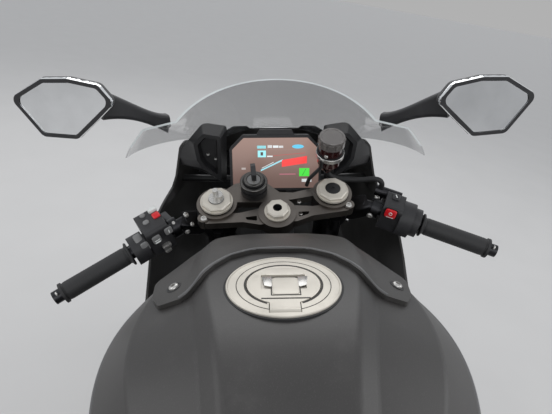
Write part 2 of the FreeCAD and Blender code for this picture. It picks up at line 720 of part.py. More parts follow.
def box_at(centre, dx, dy, dz):
    return box(centre.x - dx / 2, centre.x + dx / 2, centre.y - dy / 2, centre.y + dy / 2,
               centre.z - dz / 2, centre.z + dz / 2)


RESERVOIR = V(76, -104, 736)
RESERVOIR_R = 21.0


def reservoir():
    """Smoked brake fluid pot, on a bracket from the top clamp."""
    base = RESERVOIR
    pot = fuse([cone(base, base + V(0, 0, 14), 14, RESERVOIR_R),
                cyl(base + V(0, 0, 14), base + V(0, 0, 58), RESERVOIR_R)])
    spout = cyl(base - V(0, 0, 10), base, 6)
    return fuse([pot, spout])


def reservoir_lid():
    top = RESERVOIR + V(0, 0, 58 + GAP)
    body = fuse([cyl(top, top + V(0, 0, 12), RESERVOIR_R + 3),
                 cyl(top + V(0, 0, 12), top + V(0, 0, 15), RESERVOIR_R - 2)])
    notches = [cyl(top + V((RESERVOIR_R + 4) * cos(rad(a)), (RESERVOIR_R + 4) * sin(rad(a)), 2),
                   top + V((RESERVOIR_R + 4) * cos(rad(a)), (RESERVOIR_R + 4) * sin(rad(a)), 16), 3)
               for a in range(0, 360, 30)]
    return cut(body, notches)


def reservoir_bracket():
    """Strap from the top clamp's front arm up to a ring round the pot."""
    foot = V(56, -62, CLAMP_TOP - 3 + GAP)
    reach = RESERVOIR_R + 4.5
    side = RESERVOIR + V(-reach * 0.7, reach * 0.714, 34)
    arm = pipe([foot, foot + V(2, -4, 16), side - V(0, 0, 16), side], 3.5, 10)
    ring = tube(RESERVOIR + V(0, 0, 30), RESERVOIR + V(0, 0, 40), RESERVOIR_R + 3.5, RESERVOIR_R + GAP)
    return fuse([arm, ring])


HOSE_R = 5.0
LINE_R = 3.5
LINE_BLOCK_HALF = 30.0


def reservoir_hose():
    """Hose from the pot's spout down to the master cylinder."""
    axis, forward, _ = lever_frame()
    end = on_bar(PERCH[0] + 6) + forward * 45 + V(0, 0, 11 + 2 * GAP)
    end = V(end.x, -end.y, end.z)
    start = RESERVOIR - V(0, 0, 10 + GAP)
    return pipe([start, start - V(0, 0, 17), V((start.x + end.x) / 2 + 4, (start.y + end.y) / 2, 704),
                 end + V(0, 0, 27), end], HOSE_R, 14)


IGNITION = V(54, 36, CLAMP_TOP - 3 + GAP)


def ignition():
    """Ignition lock barrel ahead of the stem nut."""
    body = fuse([cyl(IGNITION, IGNITION + V(0, 0, 18), 24), cone(IGNITION + V(0, 0, 18),
                                                                 IGNITION + V(0, 0, 26), 24, 21),
                 cyl(IGNITION + V(0, 0, 26), IGNITION + V(0, 0, 31), 19)])
    return body.cut(cyl(IGNITION + V(0, 0, 12), IGNITION + V(0, 0, 16), 30).cut(
        cyl(IGNITION + V(0, 0, 10), IGNITION + V(0, 0, 18), 22)))


def ignition_key():
    top = IGNITION + V(0, 0, 31 + GAP)
    blade = box(top.x - 9, top.x + 9, top.y - 2, top.y + 2, top.z, top.z + 8)
    bow = side_plate([(top.x - 13, top.z + 8), (top.x + 13, top.z + 8), (top.x + 15, top.z + 26),
                      (top.x, top.z + 34), (top.x - 15, top.z + 26)], top.y - 4, top.y + 4, 4)
    return fuse([blade, bow])


def line_block():
    """Small distribution block on the front of the lower clamp, where the two brake lines start."""
    return box(FORK_OFFSET + 24 + GAP, FORK_OFFSET + 40, -LINE_BLOCK_HALF, LINE_BLOCK_HALF,
               LOWER_CLAMP_TOP - 26, LOWER_CLAMP_TOP - 8)


def brake_lines():
    """Lines from the block round the outside of the fork legs to both calipers."""
    shapes = []
    for s in (1, -1):
        x = FORK_OFFSET
        run = [(x + 33, LINE_BLOCK_HALF + GAP, LOWER_CLAMP_TOP - 17), (x + 33, 44, LOWER_CLAMP_TOP - 17),
               (x + 41, 66, 515),
               (x + 41, 86, 480), (x + 37, 118, 448), (x + 14, FORK_Y + 39, 415), (x - 8, FORK_Y + 42, 340),
               (x - 26, FORK_Y + 38, 250), (x - 58, FORK_Y + 16, 196), (x - 92, DISC_Y + 16, 186),
               (x - 92, DISC_Y + 16, 145)]
        shapes.append(pipe([V(px, s * py, pz) for px, py, pz in run], LINE_R, 40))
    return shapes


# Frame, engine and running gear, in the bike's frame
PIVOT = V(600, 0, 400)
PIVOT_R = 12.0


def head_tube():
    """Round steering head, in the fork's frame."""
    z0, z1 = LOWER_CLAMP_TOP + RUN, CLAMP_TOP - CLAMP_T - RUN
    return tube(V(0, 0, z0), V(0, 0, z1), HEAD_R, STEM_R + GAP)


PLATE_IN, PLATE_OUT = 156.0, 174.0     # inner and outer faces of the pivot plates
ENGINE_HALF = 128.0


def spar_loft(swell=0.0):
    """Left spar; swollen, it clears the tank over it."""
    wires = []
    for x, y, z, width, height in SPAR:
        lean_in = V(0, 0.06, 1).normalize()
        corners = [V(x, y, z) + V(0, a * (width / 2 + swell), 0) + lean_in * (b * (height / 2 + swell))
                   for a, b in ((-1, -1), (1, -1), (1, 1), (-1, 1))]
        wires.append(rounded_wire(corners, 9))
    return loft(wires)


STAY_END = V(1064.0, 58.0, 676.0)      # where the radiator's stays meet the head


SPAR = [
    # x, y centre, z centre, width, height
    (1118, 44, 845, 26, 96),
    (1040, 118, 818, 34, 110),
    (930, 163, 752, 36, 112),
    (790, 168, 640, 36, 112),
    (680, 165, 520, 18, 108),
]


def main_frame():
    """Twin-spar frame: steering head, two spars, and pivot plates with a cross tube."""
    head = head_tube()
    head.Placement = FORK_FRAME.multiply(head.Placement)
    spars = []
    spar = spar_loft()
    gusset = side_plate([(1168, 846), (1094, 905), (1058, 884), (1060, 784), (1110, 752), (1196, 752)],
                        20, 62, 8)
    plate = side_plate([(700, 580), (742, 540), (730, 470), (680, 420), (650, 330), (600, 272), (560, 330),
                        (560, 420), (610, 500), (640, 560)], PLATE_IN, PLATE_OUT, 16)
    rear_boss = cyl(V(722, ENGINE_HALF + GAP, 486), V(722, PLATE_IN + 6, 486), 14)
    front_boss = cyl(V(935, ENGINE_HALF - 6 + GAP, 706), V(935, 158, 706), 12)
    shock_lug = side_plate([(550, 688), (566, 708), (586, 704), (660, 572), (648, 546), (622, 556),
                            (606, 624), (562, 672)],
                           SHOCK_EYE_HALF + GAP, 33, 8)
    for piece in (spar, gusset, plate, rear_boss, front_boss, shock_lug):
        spars += both(piece)
    ties = [cyl(V(x, -PLATE_IN - 4, z), V(x, PLATE_IN + 4, z), r) for x, z,
            r in ((640, 560, 18), (600, 294, 15))]
    body = fuse([head] + spars + ties)
    bore = cyl(V(0, 0, LOWER_CLAMP_TOP - 20), V(0, 0, CLAMP_TOP), STEM_R + GAP)
    bore.Placement = FORK_FRAME.multiply(bore.Placement)
    pivot_hole = cyl(PIVOT - V(0, 200, 0), PIVOT + V(0, 200, 0), PIVOT_R + GAP)
    sweep = cyl(V(0, 0, CLAMP_TOP - CLAMP_T - RUN), V(0, 0, CLAMP_TOP + 60), 160)
    bars = tube(V(0, 0, CLIP_TOP - CLIP_T - RUN), V(0, 0, CLAMP_TOP + 60), 230, FORK_Y - TUBE_R - 9 - RUN)
    low = cyl(V(0, 0, LOWER_CLAMP_TOP - LOWER_CLAMP_T - RUN), V(0, 0, LOWER_CLAMP_TOP + RUN), 165)
    for piece in (sweep, bars, low):
        piece.Placement = FORK_FRAME.multiply(piece.Placement)
    shock_hole = cyl(SHOCK[1] - V(0, 60, 0), SHOCK[1] + V(0, 60, 0), SHOCK_BOLT_R + GAP)
    return cut(body, [bore, pivot_hole, shock_hole, sweep, bars, low])


def engine():
    """Four-cylinder engine: crankcase, inclined cylinder bank, sump and the round side covers."""
    case = side_plate([(640, 300), (660, 470), (760, 540), (900, 560), (1010, 470), (1020, 330), (960, 262),
                       (760, 250)], -128, 128, 22)
    bank = side_plate([(800, 520), (850, 690), (960, 735), (1050, 640), (1010, 440), (900, 460)], -122, 122,
                      14)
    head_cover = side_plate([(845, 694), (880, 745), (985, 775), (1052, 700), (1020, 640)], -98, 98, 14)
    sump = side_plate([(740, 262), (930, 262), (900, 212), (780, 205)], -70, 70, 14)
    fins = []
    for k in range(5):
        z = 500 + k * 26
        fins.append(side_plate([(842 + k * 8, z), (1040 + k * 2, z - 26), (1041 + k * 2, z - 20),
                                (843 + k * 8, z + 6)],
                               -126, 126))
    covers = []
    for s, x, z, r, deep in ((1, 930, 385, 72, 38), (-1, 905, 380, 60, 30), (-1, 780, 385, 76, 40)):
        start = V(x, s * 120, z)
        covers.append(cyl(start, start + V(0, s * (deep - 6), 0), r))
        covers.append(cone(start + V(0, s * (deep - 6), 0), start + V(0, s * deep + s * 4, 0), r, r - 14))
    bosses = both(cyl(STAY_END - V(40, 0, 0), STAY_END, 10))
    body = fuse([case, bank, head_cover, sump] + fins + covers + bosses)
    ports = [cyl(header_points(i)[0], header_points(i)[1], HEADER_R + GAP) for i in range(4)]
    recess = cyl(DRIVE - V(0, 15, 0), DRIVE + V(0, 60, 0), 60)
    behind = box(560, DRIVE.x, DRIVE.y - 15, 190, DRIVE.z - 60, DRIVE.z + 60)
    body = cut(body, ports + [recess, behind])
    lid = side_plate([(DRIVE.x - 58, 340), (DRIVE.x - 50, 436), (DRIVE.x + 10, 452), (DRIVE.x + 74, 440),
                      (DRIVE.x + 74, 330), (DRIVE.x + 10, 322)], 124, 134, 16)
    return fuse([body, lid])


def gearbox_sprocket():
    """Small sprocket with its shaft, run up to the crankcase."""
    return fuse([sprocket(DRIVE, FRONT_TEETH, 12, 0), cyl(DRIVE - V(0, 15 - GAP, 0), DRIVE + V(0, 10, 0),
                                                          14)])


def chain_route():
    """Chain loop's tangent points: pitch circles of both sprockets and the two straight runs."""
    back = V(REAR_AXLE.x, 0, REAR_AXLE.z)
    front = V(DRIVE.x, 0, DRIVE.z)
    big, small = pitch_radius(SPROCKET_TEETH), pitch_radius(FRONT_TEETH)
    span = (front - back).Length
    base = math.atan2(front.z - back.z, front.x - back.x)
    swing = math.acos((big - small) / span)
    return back, front, big, small, base, swing


def chain_band(offset):
    """Closed outline parallel to the pitch line, offset outwards."""
    back, front, big, small, base, swing = chain_route()

    def at(centre, r, angle):
        return centre + V((r + offset) * cos(angle), 0, (r + offset) * sin(angle))

    up, down = base + swing, base - swing
    a, b = at(back, big, up), at(front, small, up)
    c, d = at(front, small, down), at(back, big, down)
    return Part.Wire([Part.LineSegment(a, b).toShape(), Part.Arc(b, at(front, small, base), c).toShape(),
                      Part.LineSegment(c, d).toShape(), Part.Arc(d, at(back, big, base + math.pi),
                                                                 a).toShape()])


def drive_chain():
    """Chain as one loop: inner and outer side plates, waisted between the pins, and a roller at every pitch."""
    outer, inner = Part.Face(chain_band(6.8)), Part.Face(chain_band(-6.8))
    band = outer.cut(inner)
    shapes = []
    for s in (1, -1):
        plate = band.extrude(V(0, s * 3.6, 0))
        plate.translate(V(0, CHAIN_Y + s * 4.2, 0))
        shapes.append(plate)
    rollers = [cyl(p + V(0, CHAIN_Y - 4.4, 0), p + V(0, CHAIN_Y + 4.4, 0),
                   ROLLER_R - 0.5) for p in chain_pins()]
    return fuse(shapes + rollers)


def chain_pins():
    """Pin centres, evenly spaced round the loop."""
    path = chain_band(0.0)
    count = 2 * round(path.Length / CHAIN_PITCH / 2)
    return path.discretize(count + 1)[:-1]


SWINGARM = [
    # x, y centre, z centre, width, height
    (584, 140, 400, 25, 92),
    (470, 140, 398, 25, 104),
    (330, 141, 372, 25, 92),
    (150, 143, 338, 24, 74),
    (-6, 143, 320, 23, 66),
]
SHOCK = (V(520, 0, 424), V(566, 0, 690))
SHOCK_EYE_R = 16.0
SHOCK_EYE_HALF = 22.0
SHOCK_BOLT_R = 6.0


def swingarm():
    """Braced aluminium swingarm: two tapered arms, a cross beam ahead of the tyre and a pivot tube."""
    wires = [rounded_wire([V(x, y - w / 2, z - h / 2), V(x, y + w / 2, z - h / 2), V(x, y + w / 2, z + h / 2),
                           V(x, y - w / 2, z + h / 2)], 8) for x, y, z, w, h in SWINGARM]
    arm = loft(wires)
    end = side_plate([(30, 290), (36, 350), (-30, 358), (-52, 344), (-52, 296), (-30, 284)], 131,
                     SPOOL_FACE, 8)
    brace = side_plate([(470, 430), (372, 524), (348, 520), (300, 392), (380, 400)], 129, 149, 8)
    beam = side_plate([(404, 352), (400, 416), (500, 416), (500, 352)], -130, 130, 14)
    tower = side_plate([(404, 400), (396, 446), (440, 466), (490, 456), (503, 440), (503, 400)], -130, 96, 14)
    foot = side_plate([(470, 408), (480, 452), (530, 446), (538, 424), (528, 406)], SHOCK_EYE_HALF + GAP,
                      33, 8)
    pivot = cyl(PIVOT - V(0, 129, 0), PIVOT + V(0, 129, 0), 22)
    guard_lug = box(396, 416, 123, 131, 455, 480)
    hugger_lugs = both(box(260, 278, HUGGER_HALF + 3 + GAP, 133, 380, 398))
    body = fuse(both(fuse([arm, end, brace])) + both(foot) + hugger_lugs + [beam, tower, pivot, guard_lug])
    low = SHOCK[0]
    holes = [cyl(PIVOT - V(0, 200, 0), PIVOT + V(0, 200, 0), PIVOT_R + GAP),
             cyl(REAR_AXLE - V(0, 200, 0), REAR_AXLE + V(0, 200, 0), REAR_AXLE_R + GAP),
             cyl(low - V(0, SHOCK_EYE_HALF - 1, 0), low + V(0, SHOCK_EYE_HALF - 1, 0), SHOCK_EYE_R + GAP),
             cyl(low - V(0, 60, 0), low + V(0, 60, 0), SHOCK_BOLT_R + GAP)]
    for s in (1, -1):
        start = V(SPOOL_X, s * SPOOL_FACE, SPOOL_Z)
        holes.append(cyl(start + V(0, s * 10, 0), start - V(0, s * SPOOL_DEPTH, 0), SPOOL_R))
        body = body.fuse(cyl(start - V(0, s * 22, 0), start, 12))
    return cut(body, holes)


SPOOL_X, SPOOL_Z = 96.0, 318.0
SPOOL_FACE = 156.0
SPOOL_R = 5.0
SPOOL_DEPTH = 18.0


def pivot_bolt():
    heads = both(cyl(PIVOT + V(0, PLATE_OUT + GAP, 0), PIVOT + V(0, PLATE_OUT + 12, 0), 18))
    return fuse([cyl(PIVOT - V(0, PLATE_OUT + 2, 0), PIVOT + V(0, PLATE_OUT + 2, 0), PIVOT_R)] + heads)


REAR_AXLE_HALF = 162.0
REAR_BORE_R = 9.0


def rear_axle():
    y = REAR_AXLE_HALF
    body = fuse([cyl(REAR_AXLE - V(0, y, 0), REAR_AXLE + V(0, y, 0), REAR_AXLE_R)]
                + [cyl(REAR_AXLE + V(0, s * (SPOOL_FACE + GAP), 0), REAR_AXLE + V(0, s * y, 0),
                       23) for s in (1, -1)])
    return body.cut(cyl(REAR_AXLE - V(0, 170, 0), REAR_AXLE + V(0, 170, 0), REAR_BORE_R))


def wheel_spacers():
    """Collars on the rear axle between the swingarm and the hub."""
    left = tube(REAR_AXLE + V(0, CHAIN_Y + 4, 0), REAR_AXLE + V(0, 131 - GAP, 0), 21, REAR_AXLE_R + GAP)
    right = tube(REAR_AXLE - V(0, 84 + 1, 0), REAR_AXLE - V(0, 131 - GAP, 0), 21, REAR_AXLE_R + GAP)
    return [left, right]


def rear_caliper():
    """Small caliper over the rear disc, on a bracket from the right arm."""
    y0, y1 = REAR_DISC_Y - 24, REAR_DISC_Y + 20
    body = side_plate([(40, 392), (84, 402), (110, 372), (96, 340), (66, 348)], y0, y1, 8)
    body = body.cut(cyl(REAR_AXLE + V(0, REAR_DISC_Y - DISC_T / 2 - 2, 0),
                        REAR_AXLE + V(0, REAR_DISC_Y + DISC_T / 2 + 2, 0),
                        REAR_DISC_R + 3))
    arm = side_plate([(104, 372), (96, 344), (30, 322), (26, 344)], -131 + GAP, y0 + 6, 8)
    return fuse([body, arm])


def rear_shock():
    """Damper with its coil spring, behind the engine."""
    low, high = SHOCK
    axis = (high - low).normalize()
    rod = cyl(low, high, 8)
    can = cyl(low + axis * 120, high - axis * 20, 22)
    eyes = [cyl(p - V(0, SHOCK_EYE_HALF, 0), p + V(0, SHOCK_EYE_HALF, 0), SHOCK_EYE_R) for p in (low, high)]
    eyes += [cyl(p - V(0, 35, 0), p + V(0, 35, 0), SHOCK_BOLT_R) for p in (low, high)]
    seats = [cyl(low + axis * 26, low + axis * 37, 36), cyl(low + axis * 188.8, low + axis * 197, 36)]
    helix = Part.makeHelix(24, 140, 29)
    coil = Part.Wire(helix.Edges).makePipeShell([Part.Wire(Part.makeCircle(5.5, V(29, 0, 0),
        V(0, 1, 0.13)))], True, True)
    coil.Placement = FreeCAD.Placement(low + axis * (34 + 9), FreeCAD.Rotation(V(0, 0, 1), axis))
    return fuse([rod, can] + eyes + seats), coil


def radiator():
    """Water radiator ahead of the engine, with round end tanks and stays to bosses on the head."""
    foot, top = V(1122, 0, 442), V(1152, 0, 700)
    half = 168.0
    wires = [rounded_wire([p + V(-14, -half, 0), p + V(14, -half, 0), p + V(14, half, 0),
                           p + V(-14, half, 0)], 4)
             for p in (foot, top)]
    tanks = [cyl(foot + V(0, s * (half + 6), 0), top + V(0, s * (half + 6), 0), 17) for s in (1, -1)]
    stays = both(cyl(STAY_END + V(GAP, 0, 0), STAY_END + V(80, 0, 0), 7))
    return fuse([loft(wires, True)] + tanks + stays)


HEADER_R = 19.0
SILENCER = (V(446, -208, 296), V(150, -230, 456))     # axis from inlet to outlet
OUTLET_R = 26.0


def header_points(i):
    """One header's run: out of the head, down ahead of the engine and back under it."""
    y = (-96, -34, 34, 96)[i]
    gather = (i - 1.5) * 41 - 10
    return [V(1032, y, 614), V(1078, y, 588), V(1066, y * 0.9, 420), V(1010, gather * 1.3, 200),
            V(840, gather, 172),
            V(760, gather, 172)]


def exhaust():
    """Four headers that drop from the head, sweep under the sump and join in a collector."""
    pipes = [pipe(header_points(i), HEADER_R, 60) for i in range(4)]
    wires = [rounded_wire([V(x, -10 - w, z - h), V(x, -10 + w, z - h), V(x, -10 + w, z + h),
                           V(x, -10 - w, z + h)], 16)
             for x, w, z, h in ((768, 84, 172, 24), (700, 84, 178, 28), (600, 74, 190, 32),
                                (548, 60, 200, 30))]
    start, end = SILENCER
    along = (end - start).normalize()
    outlet = pipe([V(560, -48, 202), V(520, -80, 210), start - along * 62, start + along * 22], OUTLET_R, 60)
    return fuse(pipes + [loft(wires), outlet])


def silencer():
    """Short oval silencer on the right, tilted up, with an end cap and outlet."""
    def ring(p, w, h, direction):
        side = V(0, 1, 0)
        up = direction.cross(side).normalize()
        return rounded_wire([p + side * (a * w) + up * (b * h) for a,
                             b in ((-1, -0.6), (-0.55, -1), (0.55, -1), (1, -0.6),
                                                                          (1, 0.6), (0.55, 1), (-0.55, 1),
                                                                              (-1, 0.6))], 18)
    start, end = SILENCER
    direction = (end - start).normalize()
    stations = ((0, 34, 34), (0.12, 44, 56), (0.35, 47, 62), (0.85, 46, 60), (1.0, 38, 50))
    body = loft([ring(start + (end - start) * t, w, h, direction) for t, w, h in stations])
    inlet = cyl(start - direction * 2, start + direction * (22 + GAP), OUTLET_R + GAP)
    return cut(body, [cyl(end - direction * 30, end + direction * 5, 27), inlet])


# Bodywork
TANK = [
    # x, ridge y z, valley y z, deck y z, side y z, foot y z
    (565, 34, 842, 46, 836, 62, 826, 74, 800, 72, 770),
    (620, 46, 912, 60, 900, 92, 882, 116, 840, 112, 780),
    (700, 56, 976, 74, 962, 130, 938, 176, 884, 160, 790),
    (780, 70, 1000, 88, 984, 160, 956, 206, 902, 186, 800),
    (870, 90, 992, 108, 976, 168, 952, 214, 902, 196, 800),
    (960, 98, 974, 112, 962, 152, 940, 194, 892, 186, 800),
    (1046, 80, 946, 96, 934, 126, 920, 160, 884, 156, 810),
]
TANK_ROUND = 14.0
FILLER = V(868, 0, 991)
FILLER_TILT = 8.5
FILLER_R = 66.0
LID_R = 42.0
LID_PIN = V(-LID_R - 10, 0, 0.4)     # hinge line in the filler's frame
LID_PIN_R = 1.8
KNUCKLE_R = 3.8
LID_OPEN = 100.0


def filler_frame():
    return FreeCAD.Placement(FILLER, FreeCAD.Rotation(V(0, 1, 0), FILLER_TILT))


def tank_loft(swell=0.0):
    return body_loft(TANK, TANK_ROUND, -swell)


def in_filler(shape):
    shape.Placement = filler_frame().multiply(shape.Placement)
    return shape


def tank():
    """Tank with a raised centre ridge, shoulders and a recess for the filler ring."""
    shell = tank_loft()
    pocket = in_filler(cyl(V(0, 0, -9), V(0, 0, 40), FILLER_R + GAP))
    neck = in_filler(cyl(V(0, 0, -70), V(0, 0, 0), LID_R - 10))
    rails = both(spar_loft(GAP))
    tunnel = box(500, 1200, -112, 112, 700, 842)
    return cut(shell, [pocket, neck, tunnel.common(box(640, 1200, -400, 400, 0, 2000))] + rails)


def filler_ring():
    """Bright ring let into the tank, recessed for the lid and its hinge tongue."""
    ring = cyl(V(0, 0, -9 + GAP), V(0, 0, 3), FILLER_R)
    seat = cyl(V(0, 0, -3), V(0, 0, 10), LID_R + 1.0)
    neck = cyl(V(0, 0, -20), V(0, 0, 10), LID_R - 10)
    tongue = box(LID_PIN.x, -LID_R + 14, -17, 17, -3, 10)
    knuckle = cyl(LID_PIN - V(0, 17, 0), LID_PIN + V(0, 17, 0), KNUCKLE_R + 2.0)
    pin = cyl(LID_PIN - V(0, 20, 0), LID_PIN + V(0, 20, 0), LID_PIN_R)
    return in_filler(cut(ring, [seat, neck, tongue, knuckle]).fuse(pin))


def filler_lid():
    """Round lid with a rectangular hinge tongue at the back and a recessed grip."""
    lid = cyl(V(0, 0, -3 + GAP), V(0, 0, 3.4), LID_R)
    tongue = box(LID_PIN.x, -LID_R + 12, -16, 16, -3 + GAP, 3.4)
    knuckle = cyl(LID_PIN - V(0, 16, 0), LID_PIN + V(0, 16, 0), KNUCKLE_R)
    plug = cyl(V(0, 0, -16), V(0, 0, -2), LID_R - 13)
    dish = box(-12, 20, -26, 26, 1.0, 10)
    bore = cyl(LID_PIN - V(0, 20, 0), LID_PIN + V(0, 20, 0), LID_PIN_R + GAP)
    return in_filler(cut(fuse([lid, tongue, knuckle, plug]), [dish, bore]))


TRIM_T = 6.0
TRIM = [(1038, 40), (1022, 74), (976, 126), (930, 166), (886, 158), (862, 145), (862, 118), (880, 97),
        (912, 84),
        (940, 66), (960, 36)]


def tank_trim():
    """Plate over the front of the tank: an arch round the filler with a wing to each side."""
    outline = TRIM + [(x, -y) for x, y in reversed(TRIM)]
    outer, inner = tank_loft(TRIM_T + GAP), tank_loft(GAP)
    return outer.cut(inner).common(top_plate(outline, 880, 1040, 6))


FAIRING = [
    # x, deck y z, shoulder y z, brow y z, flank y z, waist y z, skirt y z, keel y z
    (1548, 14, 908, 26, 903, 34, 893, 38, 880, 34, 864, 24, 853, 10, 848),
    (1505, 45, 953, 82, 936, 104, 905, 112, 875, 104, 838, 80, 812, 40, 805),
    (1440, 90, 1002, 150, 968, 178, 925, 190, 880, 180, 820, 150, 770, 80, 755),
    (1360, 130, 1045, 190, 1000, 205, 940, 222, 880, 208, 800, 188, 690, 120, 620),
    (1270, 150, 1060, 196, 1005, 212, 945, 240, 880, 224, 780, 208, 580, 145, 440),
    (1150, 150, 1040, 196, 1000, 212, 940, 240, 868, 228, 720, 214, 440, 140, 200),
    (1000, 150, 960, 190, 930, 205, 880, 230, 810, 226, 650, 212, 370, 135, 146),
    (850, 140, 900, 180, 870, 200, 820, 220, 750, 218, 600, 208, 350, 135, 138),
    (660, 110, 800, 145, 780, 172, 740, 206, 680, 206, 540, 196, 340, 120, 140),
]
FAIRING_ROUND = 16.0
COCKPIT_EDGE = [(1306, 1200), (1298, 1010), (1291, 920), (1204, 879), (1122, 846), (1060, 811), (980, 776),
                (880, 730),
                (812, 650), (796, 520), (760, 400), (715, 300), (680, 220), (400, 200), (400, 1200)]
MOUTH = [(1062, 80), (1062, 742), (1386, 706), (1386, 80)]


def half_loops(row, inset):
    """A fairing section's outer outline, and one inset from it, from the top centre to the keel centre."""
    half = half_points(row)
    whole = half + [(-y, z) for y, z in reversed(half)]
    return half, inset_loop(whole, inset)[:len(half)]


def skin_section(row):
    """Closed wire of the skin's wall at one station, left half."""
    half, inner = half_loops(row, WALL)
    points = [(0, half[0][1])] + half + [(0, half[-1][1])]
    points += [(0, inner[-1][1])] + inner[::-1] + [(0, inner[0][1])]
    radii = [0.5] + [FAIRING_ROUND] * len(half) + [0.5, 0.5] + [FAIRING_ROUND - WALL] * len(half) + [0.5]
    return rounded_wire([V(row[0], y, z) for y, z in points], radii)


def solid_section(row, inset=0.0):
    """Closed wire of one station's full left half."""
    half = half_loops(row, inset)[1]
    points = [(0, half[0][1])] + half + [(0, half[-1][1])]
    radii = [0.5] + [FAIRING_ROUND - inset] * len(half) + [0.5]
    return rounded_wire([V(row[0], y, z) for y, z in points], radii)


def fairing_core(gap):
    """Left half of the room inside the skin."""
    return loft([solid_section(row, WALL + gap) for row in FAIRING])


def fairing_skin():
    """Left half of the whole skin, opened for the cockpit, the hands and the front wheel."""
    tip = FAIRING[0]
    face = Part.Face(solid_section(tip))
    skin = loft([skin_section(row) for row in FAIRING])
    skin = skin.fuse(face.extrude(V(WALL, 0, 0)))
    cockpit = box(400, 1432, -1, 187, 770, 1200)
    hands = side_plate(COCKPIT_EDGE, -1, 400)
    mouth = side_plate(MOUTH, -1, 166)
    return cut(skin, [cockpit, hands, mouth])


LAMP = [(58, 902), (120, 930), (168, 926), (184, 905), (150, 872), (84, 856)]
INTAKE = [(-44, 868), (44, 868), (34, 822), (-34, 822)]
SPLIT_LINE = [(1240, 1300), (1240, 1010), (1262, 905), (1240, 800), (1300, 700), (1420, 600), (1700, 600),
              (1700, 1300)]
BELLY_LINE = [(400, 60), (400, 330), (700, 330), (1060, 300), (1300, 300), (1300, 60)]
VENTS = [
    # side view outlines of the openings in each flank
    [(930, 600), (1075, 655), (1060, 560), (925, 520)],
    [(860, 470), (1010, 470), (960, 380), (850, 372)],
]


def fairing_panels():
    """Nose, side panels, belly pan and lamp lenses, split where the real panels meet."""
    skin = fairing_skin()
    front = side_plate(SPLIT_LINE, -1, 400)
    belly = side_plate(BELLY_LINE, -1, 400)
    lamp = front_plate(LAMP, 1380, 1600, 8)
    lens_prism = front_plate(inset_loop(LAMP, GAP), 1380, 1600, 8)
    intake = front_plate([(y, z) for y, z in INTAKE], 1440, 1600, 8)
    nose_half = skin.common(front)
    lens = nose_half.common(lens_prism)
    nose_half = cut(nose_half, [lamp, intake, screen_solid(GAP)])
    rest = skin.cut(front)
    pan_half = rest.common(belly)
    flank = rest.cut(belly)
    vents = [side_plate(outline, 1, 400, 14) for outline in VENTS]
    flank = cut(flank, vents)
    nose = nose_half.fuse(mirrored(nose_half))
    notch = cyl(STAND_PIVOT - V(0, 60, 0), STAND_PIVOT + V(0, 60, 0), STAND_NOTCH_R)
    pan = pan_half.cut(notch).fuse(mirrored(pan_half))
    return nose, flank, pan, lens


def lamp_bodies():
    """Reflector boxes behind the lenses."""
    prism = front_plate(inset_loop(LAMP, 2.5), 1392, 1600, 7)
    body = fairing_core(2 * GAP).common(prism)
    return both(body)


SCREEN = [
    # x, crown z, dome edge y z, flare y z, ear y z
    (1446, 1003, 128, 976, 138, 972, 146, 966),
    (1380, 1052, 168, 1010, 182, 1003, 190, 994),
    (1310, 1105, 182, 1046, 206, 1038, 222, 1012),
    (1245, 1151, 180, 1072, 226, 1064, 262, 1018),
    (1180, 1186, 178, 1096, 240, 1072, 286, 1006),
]
SCREEN_T = 3.0
SCREEN_EDGE = [(1258, 1300), (1252, 1156), (1206, 1080), (1196, 1040), (1226, 998), (1226, 900),
               (1100, 900), (1100, 1300)]


def screen_wire(row, inset):
    x, crown, dome_y, dome_z, flare_y, flare_z, ear_y, ear_z = row
    outer = [(dome_y, dome_z), (flare_y, flare_z), (ear_y, ear_z)]
    inner = [(dome_y - inset, dome_z - inset), (flare_y - inset * 0.6, flare_z - inset),
             (ear_y - inset, ear_z)]

    def at(p, s=1):
        return V(x, s * p[0], p[1])

    edges = [Part.Arc(at(outer[0], -1), V(x, 0, crown), at(outer[0])).toShape()]
    chain = [at(outer[0]), at(outer[1]), at(outer[2]), at(inner[2]), at(inner[1]), at(inner[0])]
    edges += [Part.LineSegment(a, b).toShape() for a, b in zip(chain, chain[1:])]
    edges.append(Part.Arc(at(inner[0]), V(x, 0, crown - inset), at(inner[0], -1)).toShape())
    chain = [at(inner[0], -1), at(inner[1], -1), at(inner[2], -1), at(outer[2], -1), at(outer[1], -1),
             at(outer[0], -1)]
    edges += [Part.LineSegment(a, b).toShape() for a, b in zip(chain, chain[1:])]
    return Part.Wire(edges)


def screen_solid(swell=0.0):
    """Everything between the screen's outer face and the chord between its lower corners."""
    wires = []
    for x, crown, dome_y, dome_z, flare_y, flare_z, ear_y, ear_z in SCREEN:
        out = [(dome_y + swell, dome_z + swell), (flare_y + swell, flare_z + swell),
               (ear_y + swell, ear_z - swell)]
        arc = Part.Arc(V(x, -out[0][0], out[0][1]), V(x, 0, crown + swell),
                       V(x, out[0][0], out[0][1])).toShape()
        path = [V(x, y, z) for y, z in out] + [V(x, -y, z) for y, z in reversed(out)]
        wires.append(Part.Wire([arc] + [Part.LineSegment(a, b).toShape() for a, b in zip(path, path[1:])]))
    return loft(wires)


def windscreen():
    """Clear dome with flared lower corners."""
    dome = loft([screen_wire(row, SCREEN_T) for row in SCREEN])
    return dome.cut(side_plate(SCREEN_EDGE, -400, 400))


MIRROR = [(420, 1139), (365, 1168), (324, 1168), (280, 1158), (260, 1129), (329, 1071), (384, 1076)]
MIRROR_X = 1156.0


def mirror_outline(x, inset):
    return rounded_wire([V(x, y, z) for y, z in inset_loop(MIRROR, inset)], 12)


